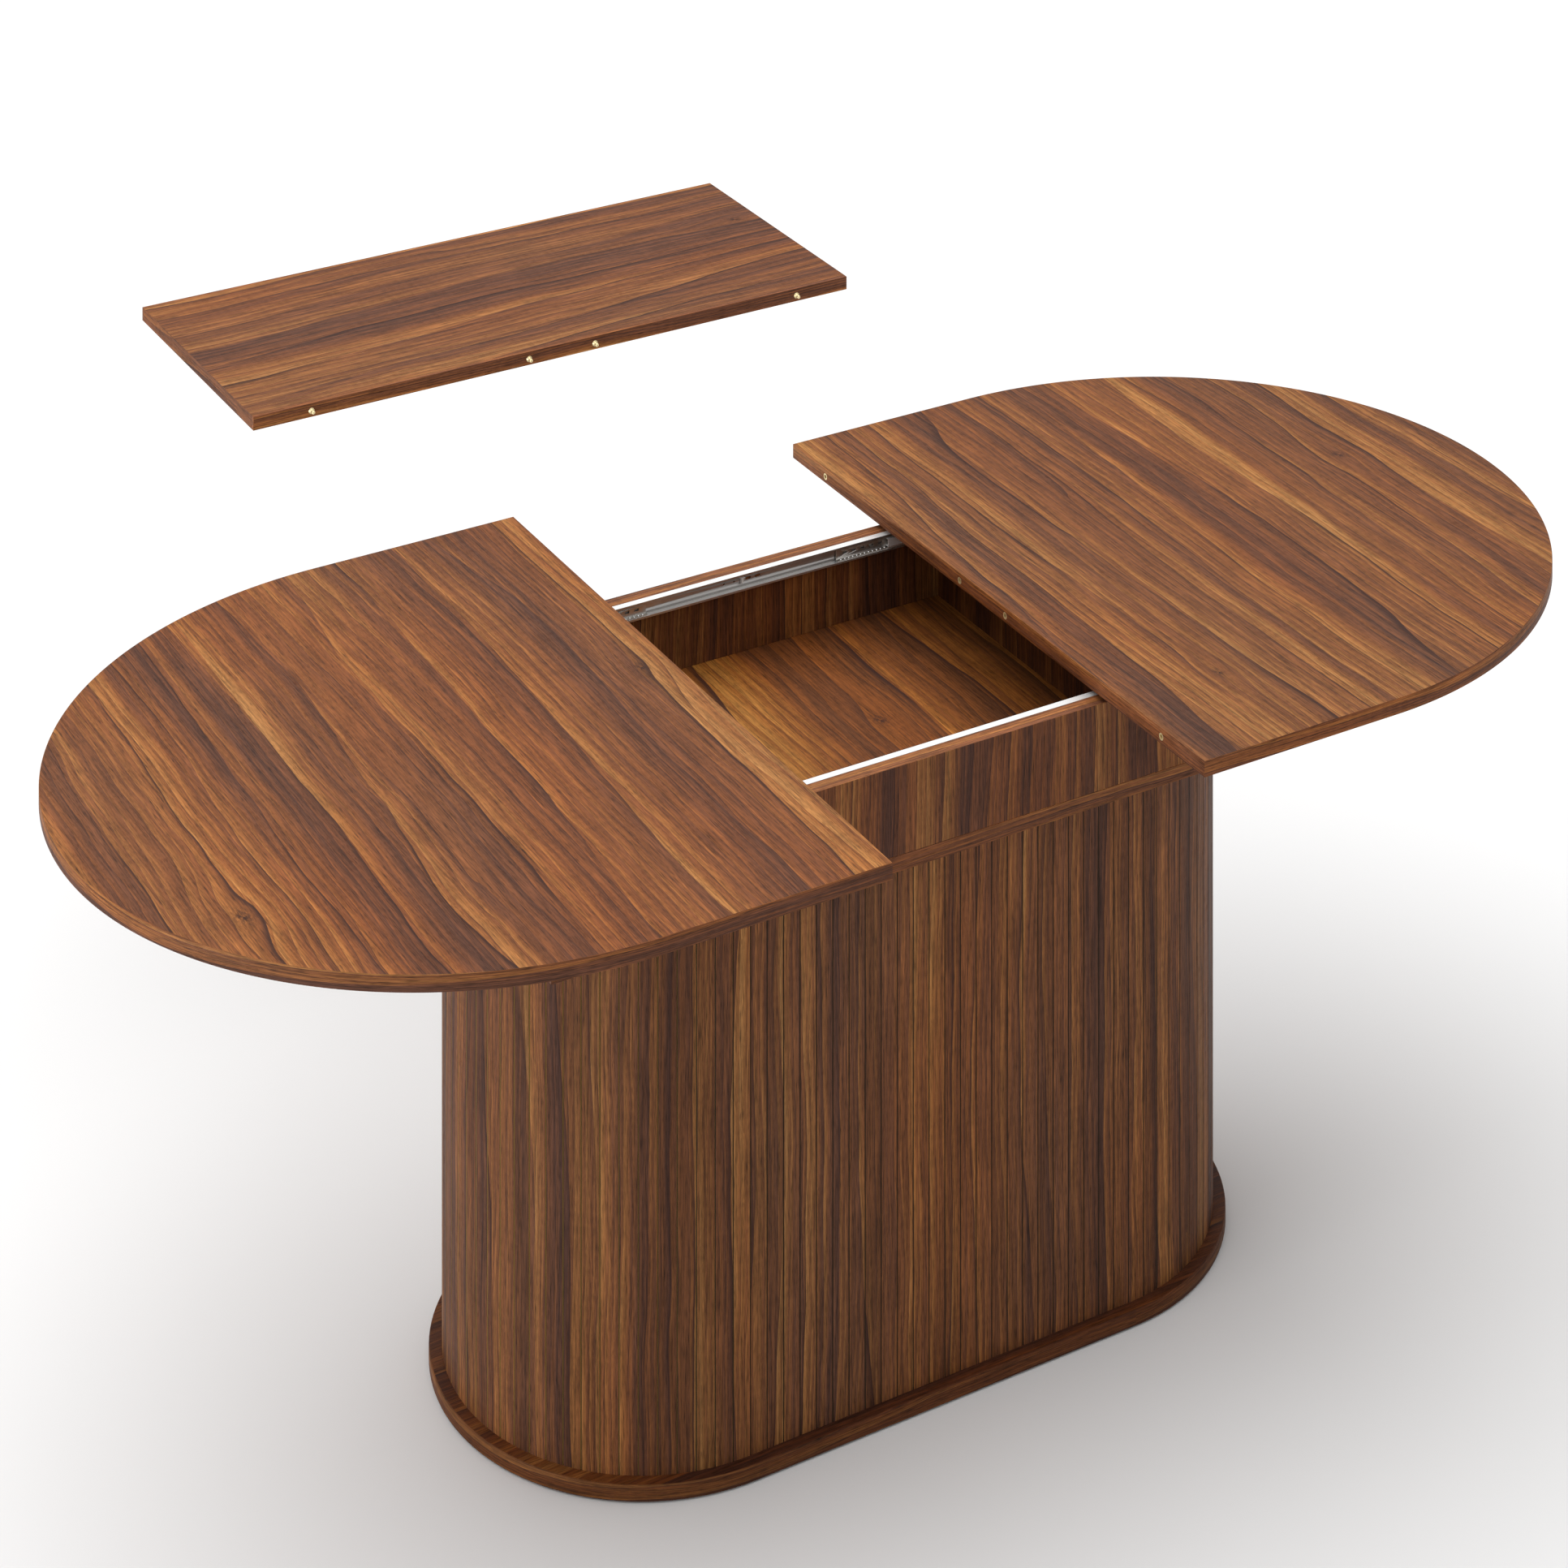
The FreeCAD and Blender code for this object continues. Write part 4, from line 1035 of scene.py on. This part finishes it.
@dataclass
class Column:
    """The fluted cladding of the column: slats round a stadium, and its hidden carcass."""

    groove_width: float = 2.0 * MM
    groove_depth: float = 1.6 * MM
    flat_slats: int = 24
    end_slats: int = 35
    tone_range: float = 0.44
    easing: float = 0.35 * MM

    def slat(self, name: str, pitch: float, thick: float, low: float, high: float,
             finishes: Finishes) -> bpy.types.Object:
        """One slat, its back on y = thick and its face on y = 0.

        Args:
            name: the slat's name.
            pitch: distance from one groove to the next.
            thick: the cladding's thickness.
            low: height of its foot.
            high: height of its head.
            finishes: the table's finishes.

        Returns:
            An object that the slats are copied from.
        """
        half, flank = pitch / 2, self.groove_width / 2
        easing = self.easing
        right = [(half, thick), (half, self.groove_depth), (half - flank + easing, easing),
                 (half - flank - easing * 0.2, easing * 0.25), (half - flank - easing, 0.0)]
        profile = right + [(-x, y) for x, y in reversed(right)]
        faces = len(profile)
        shape = bmesh.new()
        layer = shape.loops.layers.uv.new("UVMap")
        rings = [[shape.verts.new((x, y, z)) for x, y in profile] for z in (low, high)]
        for index in range(faces):
            after = (index + 1) % faces
            side = shape.faces.new((rings[0][index], rings[1][index], rings[1][after], rings[0][after]))
            # Index 1 gives the groove stain to one flank and its side wall; index 2 paints shade on the other
            # flank and side wall with the near-black groove_shade.
            side.material_index = {0: 1, 1: 1, faces - 3: 2, faces - 2: 2}.get(index, 0)
        shape.faces.new(rings[0])
        shape.faces.new(list(reversed(rings[1])))
        for face in shape.faces:
            for loop in face.loops:
                loop[layer].uv = (loop.vert.co.x, loop.vert.co.z)
        bmesh.ops.recalc_face_normals(shape, faces=shape.faces)
        return new_piece(name, to_mesh(shape, name), [finishes.slat, finishes.groove, finishes.groove_shade])

    def build(self, finishes: Finishes) -> None:
        """Clad the column and dress its carcass.

        Args:
            finishes: the table's finishes.
        """
        tree = slat_run_tree()
        low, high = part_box("front_fluted_panel")
        thick, flat, radius = high.y - low.y, high.x, -low.y
        flat_pitch, turn = 2 * flat / self.flat_slats, math.pi / self.end_slats
        end_pitch = 2 * radius * math.tan(turn / 2)
        flat_slat = self.slat("flat_slat", flat_pitch, thick, low.z, high.z, finishes)
        end_slat = self.slat("end_slat", end_pitch, thick, low.z, high.z, finishes)
        end_run = math.pi * radius
        runs = (
            ("front_fluted_panel", flat_slat, self.flat_slats, flat_pitch, 0.0, 0.0, (-flat, 0, 0), 0.0),
            ("right_fluted_shell", end_slat, self.end_slats, end_pitch, turn, 0.0, (flat, 0, 0), 2 * flat),
            ("rear_fluted_panel", flat_slat, self.flat_slats, flat_pitch, 0.0, math.pi, (flat, 0, 0),
             2 * flat + end_run),
            ("left_fluted_shell", end_slat, self.end_slats, end_pitch, turn, math.pi, (-flat, 0, 0),
             4 * flat + end_run),
        )
        for order, (node, slat, count, pitch, step, start, place, run) in enumerate(runs):
            piece = tree.run(f"{node}_slats", bpy.data.meshes.new(node), {
                "Slat": slat, "Count": count, "Pitch": pitch, "Turn": step, "Start Angle": start,
                "Radius": radius, "Start": place, "Run Start": run, "Seed": 11 + order,
                "Tone Range": self.tone_range, "Finish": finishes.slat})
            if node == "rear_fluted_panel":
                piece.data.transform(Matrix.Translation((-2 * flat, 0, 0)))
            stand_for(piece, node)
        for slat in (flat_slat, end_slat):
            bpy.data.objects.remove(slat)
        for node in ("column_bottom_former", "column_top_former", "column_front_board",
                     "column_rear_board", "column_left_board", "column_right_board",
                     "column_left_rib", "column_right_rib"):
            dress(node, finishes.core)


@dataclass
class Plinth:
    """The oval plinth board and its glides; its screws are set with the other fasteners."""

    end_steps: int = 64

    def outline(self) -> list[OutlinePoint]:
        """A stadium, anticlockwise.

        Returns:
            The outline's points.
        """
        _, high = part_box("plinth")
        radius, flat = high.y, high.x - high.y
        corners = []
        for sign in (1, -1):
            for index in range(self.end_steps + 1):
                turn = math.pi * (index / self.end_steps - 0.5)
                corners.append((Vector((sign * (flat + radius * math.cos(turn)),
                                        sign * radius * math.sin(turn))), 1))
        return outline_points(corners)

    def build(self, finishes: Finishes) -> None:
        """Build the plinth.

        Args:
            finishes: the table's finishes.
        """
        low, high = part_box("plinth")
        mesh = Slab(self.outline(), low.z, high.z, 1.2 * MM).mesh("plinth")
        stand_for(new_piece("plinth_board", mesh, [finishes.plinth, finishes.plinth_rim]), "plinth")
        smooth_copy("felt_glides", finishes.felt, 0.5 * MM)


def dress(node: str, material: bpy.types.Material) -> None:
    """Give a CAD node that stays a material."""
    shown = frame["nodes"][node]
    shown.data.materials.clear()
    shown.data.materials.append(material)


@dataclass
class StorageBox:
    """The box between the column and the tops, with its slides."""

    easing: float = 0.5 * MM

    def build(self, finishes: Finishes) -> None:
        """Build the box and its fixed hardware.

        Args:
            finishes: the table's finishes.
        """
        eased_copy("box_base_plate", self.easing, flat_or_edge, [finishes.box_floor, finishes.box_floor_edge])
        for node in ("front_rail", "rear_rail"):
            eased_copy(node, self.easing, upright_or_edge, [finishes.rail, finishes.rail_edge])
        for side in ("left", "right"):
            for place in ("inner", "end"):
                eased_copy(f"{side}_{place}_cross_panel", self.easing, upright_or_edge,
                           [finishes.cross_panel, finishes.rail_edge])
        for end in ("front", "rear"):
            # One zinc channel: painted shade darkens its upright webs, and its level flanges stay bright zinc.
            smooth_copy(f"{end}_slide_channel", finishes.zinc, upright=finishes.web)
            for side in ("left", "right"):
                smooth_copy(f"{side}_{end}_slide_member", finishes.zinc)
                smooth_copy(f"{side}_{end}_cage", finishes.cage)
        smooth_copy("slide_stops", finishes.plastic, 0.2 * MM)
        smooth_copy("panel_dowels", finishes.dowel)


def ball_row_tree() -> NodeTree:
    """Tree that sets a ball on every point.

    Returns:
        The tree.
    """
    tree = NodeTree("ball_rows", {"Radius": "NodeSocketFloat", "Finish": "NodeSocketMaterial"})
    source = tree.start.outputs
    ball = tree.node("GeometryNodeMeshUVSphere", None, {"Segments": 8, "Rings": 6, "Radius": source["Radius"]})
    smooth = tree.node("GeometryNodeSetShadeSmooth", None, {0: ball.outputs[0]})
    rows = tree.node("GeometryNodeInstanceOnPoints", None, {0: source["Geometry"], "Instance": smooth.outputs[0]})
    tree.finish(rows.outputs[0], source["Finish"])
    return tree


def screw_tree() -> NodeTree:
    """Tree that sets a screw on every point, with its head on the point.

    Returns:
        The tree.
    """
    tree = NodeTree("screw_set", {"Screw": "NodeSocketObject", "Finish": "NodeSocketMaterial"})
    source = tree.start.outputs
    info = tree.node("GeometryNodeObjectInfo", {"transform_space": "ORIGINAL"}, {"Object": source["Screw"]})
    way = tree.node("GeometryNodeInputNamedAttribute", {"data_type": "FLOAT_VECTOR"}, {"Name": "way"})
    turn = tree.node("FunctionNodeAlignRotationToVector", {"axis": "Z"}, {"Vector": way.outputs[0]})
    rows = tree.node("GeometryNodeInstanceOnPoints", None,
                     {0: source["Geometry"], "Instance": info.outputs["Geometry"], "Rotation": turn.outputs[0]})
    tree.finish(rows.outputs[0], source["Finish"])
    return tree


def islands(node: str) -> list[list[Vector]]:
    """Points of each separate solid of a CAD node.

    Args:
        node: the CAD node.

    Returns:
        One list of points a solid.
    """
    shape = merged_copy(node)
    shape.verts.ensure_lookup_table()
    seen: set[int] = set()
    result = []
    for first in shape.verts:
        if first.index in seen:
            continue
        seen.add(first.index)
        queue, points = [first], []
        while queue:
            vert = queue.pop()
            points.append(vert.co.copy())
            for edge in vert.link_edges:
                other = edge.other_vert(vert)
                if other.index not in seen:
                    seen.add(other.index)
                    queue.append(other)
        result.append(points)
    shape.free()
    return result


def middle_of(points: Sequence[Vector]) -> Vector:
    """Middle of the box around some points."""
    return Vector([(min(p[axis] for p in points) + max(p[axis] for p in points)) / 2 for axis in range(3)])


@dataclass
class BallRows:
    """The balls of one cage."""

    node: str

    def build(self, tree: NodeTree, finishes: Finishes) -> None:
        """Set a ball where each CAD ball is.

        Args:
            tree: the tree that sets the balls.
            finishes: the table's finishes.
        """
        solids = islands(self.node)
        radius = (max(p.x for p in solids[0]) - min(p.x for p in solids[0])) / 2
        mesh = bpy.data.meshes.new(self.node)
        mesh.from_pydata([middle_of(points) for points in solids], [], [])
        piece = tree.run(f"{self.node}_set", mesh, {"Radius": radius, "Finish": finishes.ball})
        stand_for(piece, self.node)


@dataclass
class ScrewSet:
    """The countersunk screws of one CAD node, each with a cross recess in its head."""

    node: str
    head: float = 3.5 * MM
    shank: float = 1.6 * MM
    head_height: float = 2.2 * MM
    recess: float = 1.5 * MM
    segments: int = 20

    def screw(self, length: float) -> bpy.types.Object:
        """One screw with its head on z = 0 and its point along +Z.

        Args:
            length: the screw's length.

        Returns:
            An object that the screws are copied from.
        """
        shape = bmesh.new()
        profile = ((self.head, 0.0), (self.head, 0.2 * MM), (self.shank, self.head_height),
                   (self.shank, length - 2 * MM), (0.3 * MM, length))
        rings = [[shape.verts.new((radius * math.cos(2 * math.pi * i / self.segments),
                                   radius * math.sin(2 * math.pi * i / self.segments), z))
                  for i in range(self.segments)] for radius, z in profile]
        for lower, upper in zip(rings, rings[1:]):
            for index in range(self.segments):
                after = (index + 1) % self.segments
                shape.faces.new((lower[index], lower[after], upper[after], upper[index])).smooth = True
        shape.faces.new(list(reversed(rings[0])))
        shape.faces.new(rings[-1])
        piece = new_piece("screw_master", to_mesh(shape, "screw"), [])
        cross = bmesh.new()
        for size in ((3.8 * MM, 0.9 * MM), (0.9 * MM, 3.8 * MM)):
            place = Matrix.Diagonal((*size, 2 * self.recess, 1))
            bmesh.ops.create_cube(cross, size=1.0, matrix=place)
        cutter = new_piece("cross_recess", to_mesh(cross, "cross"), [])
        cut = piece.modifiers.new("recess", "BOOLEAN")
        cut.operation, cut.solver, cut.object = "DIFFERENCE", "EXACT", cutter
        cut.use_self = True
        flatten(piece)
        bpy.data.objects.remove(cutter)
        return piece

    def build(self, tree: NodeTree, finishes: Finishes) -> None:
        """Set a screw where each CAD screw is.

        Args:
            tree: the tree that sets the screws.
            finishes: the table's finishes.
        """
        heads, ways, length = [], [], 0.0
        for points in islands(self.node):
            middle = middle_of(points)
            sizes = [max(p[axis] for p in points) - min(p[axis] for p in points) for axis in range(3)]
            axis = sizes.index(max(sizes))
            length = sizes[axis]
            widest = max(points, key=lambda p: (p - middle).length_squared - (p[axis] - middle[axis]) ** 2)
            way = Vector([0.0, 0.0, 0.0])
            way[axis] = 1.0 if widest[axis] < middle[axis] else -1.0
            heads.append(middle - way * length / 2)
            ways.append(way)
        mesh = bpy.data.meshes.new(self.node)
        mesh.from_pydata(heads, [], [])
        layer = mesh.attributes.new("way", "FLOAT_VECTOR", "POINT")
        for index, way in enumerate(ways):
            layer.data[index].vector = way
        screw = self.screw(length)
        piece = tree.run(f"{self.node}_set", mesh, {"Screw": screw, "Finish": finishes.screw})
        bpy.data.objects.remove(screw)
        stand_for(piece, self.node)


@dataclass
class Fasteners:
    """The balls and the screws."""

    screws: tuple[str, ...] = ("plinth_screws", "column_top_screws", "rail_screws", "channel_screws",
                               "left_member_screws", "right_member_screws", "left_batten_screws",
                               "right_batten_screws")

    def build(self, finishes: Finishes) -> None:
        """Set every ball and screw.

        Args:
            finishes: the table's finishes.
        """
        balls = ball_row_tree()
        for side in ("left", "right"):
            for end in ("front", "rear"):
                BallRows(f"{side}_{end}_balls").build(balls, finishes)
        tree = screw_tree()
        for node in self.screws:
            ScrewSet(node).build(tree, finishes)


# ---------------------------------------------------------------------------- the studio
@dataclass
class Studio:
    """A pale floor, soft light and a camera that keeps uprights upright."""

    eye: tuple[float, float, float] = (-2.39146, -4.01479, 3.06450)
    heading: float = 0.525
    focal_ratio: float = 2.54618
    look_side: float = -0.001197
    look_down: float = 0.532703
    sensor: float = 36.0
    floor_size: float = 60.0
    floor_tone: float = 0.77
    key_strength: float = 2.35
    key_tilt: float = 17.0
    key_turn: float = 24.0
    key_softness: float = 80.0
    sky_strength: float = 0.70
    side_place: Vector = field(default_factory=lambda: Vector((-3.2, -0.4, 0.25)))
    side_size: float = 0.5
    side_power: float = 30.0

    def camera(self) -> None:
        """Make the camera.

        The camera looks down, yet its picture plane stays upright, as in a view camera. So
        its axes are not square to each other: a stretched parent gives it that skew.
        """
        forward = Vector((math.sin(self.heading), math.cos(self.heading), 0))
        right = Vector((math.cos(self.heading), -math.sin(self.heading), 0))
        gaze = forward + right * self.look_side - Vector((0, 0, self.look_down))
        stretch = gaze.length
        data = bpy.data.cameras.new("camera")
        data.sensor_width = self.sensor
        data.lens = self.focal_ratio * self.sensor * stretch
        data.clip_start, data.clip_end = 0.05, 100.0
        camera = bpy.data.objects.new("camera", data)
        holder = bpy.data.objects.new("camera_holder", None)
        for item in (camera, holder):
            bpy.context.scene.collection.objects.link(item)
        axes = Matrix((right, Vector((0, 0, 1)), -gaze / stretch)).transposed()
        turned, sizes, inner = split_skew(axes)
        holder.matrix_world = Matrix.Translation(self.eye) @ turned.to_4x4() @ Matrix.Diagonal((*sizes, 1.0))
        camera.parent = holder
        camera.matrix_parent_inverse = Matrix.Identity(4)
        camera.matrix_basis = inner.to_4x4()
        bpy.context.scene.camera = camera

    def lights(self) -> None:
        """Make the sky light and the soft key light."""
        world = bpy.data.worlds.new("studio")
        bpy.context.scene.world = world
        world.use_nodes = True
        background = world.node_tree.nodes["Background"]
        background.inputs["Color"].default_value = (1.0, 1.0, 1.0, 1.0)
        background.inputs["Strength"].default_value = self.sky_strength
        sun = bpy.data.lights.new("key", "SUN")
        sun.energy = self.key_strength
        sun.angle = math.radians(self.key_softness)
        key = bpy.data.objects.new("key", sun)
        key.rotation_euler = (math.radians(-self.key_tilt), 0, math.radians(self.key_turn))
        bpy.context.scene.collection.objects.link(key)
        side = bpy.data.lights.new("side_fill", "AREA")
        side.energy, side.size = self.side_power, self.side_size
        fill = bpy.data.objects.new("side_fill", side)
        fill.location = self.side_place
        fill.rotation_euler = (Vector((0, 0, 0.35)) - fill.location).to_track_quat("-Z", "Y").to_euler()
        bpy.context.scene.collection.objects.link(fill)
        view = bpy.context.scene.view_settings
        view.view_transform = "Standard"
        view.look = "None"

    def floor(self) -> None:
        """Make the floor."""
        shape = bmesh.new()
        bmesh.ops.create_grid(shape, x_segments=1, y_segments=1, size=self.floor_size / 2)
        tone = (self.floor_tone,) * 3
        look = Matt("studio_floor", tone, 0.9, 3.0, 0.01).material()
        new_piece("studio_floor", to_mesh(shape, "floor"), [look])

    def build(self) -> None:
        """Make the whole studio."""
        self.floor()
        self.lights()
        self.camera()


def split_skew(axes: Matrix) -> tuple[Matrix, Vector, Matrix]:
    """Split a matrix into a turn, a stretch and another turn.

    Args:
        axes: a 3 by 3 matrix with a positive determinant.

    Returns:
        The outer turn, the stretch along its axes, and the inner turn.
    """
    product = axes.transposed() @ axes
    inner = Matrix.Identity(3)
    for _ in range(60):
        row, column = max(((0, 1), (0, 2), (1, 2)), key=lambda pair: abs(product[pair[0]][pair[1]]))
        if abs(product[row][column]) < 1e-12:
            break
        angle = 0.5 * math.atan2(2 * product[row][column], product[row][row] - product[column][column])
        turn = Matrix.Identity(3)
        turn[row][row] = turn[column][column] = math.cos(angle)
        turn[row][column], turn[column][row] = -math.sin(angle), math.sin(angle)
        product = turn.transposed() @ product @ turn
        inner = inner @ turn
    sizes = Vector([math.sqrt(product[i][i]) for i in range(3)])
    outer = axes @ inner @ Matrix.Diagonal([1 / size for size in sizes])
    return outer, sizes, inner.transposed()


def main() -> None:
    """Build the table and its studio."""
    logging.basicConfig(level=logging.INFO, format="%(message)s")
    finishes = Finishes.make()
    HalfTop(-1, "left_top", "left_edge_pins").build(finishes)
    HalfTop(1, "right_top", "right_edge_bushes").build(finishes)
    Leaf().build(finishes)
    StorageBox().build(finishes)
    Column().build(finishes)
    Plinth().build(finishes)
    Fasteners().build(finishes)
    Studio().build()


if __name__ == "__main__":
    main()
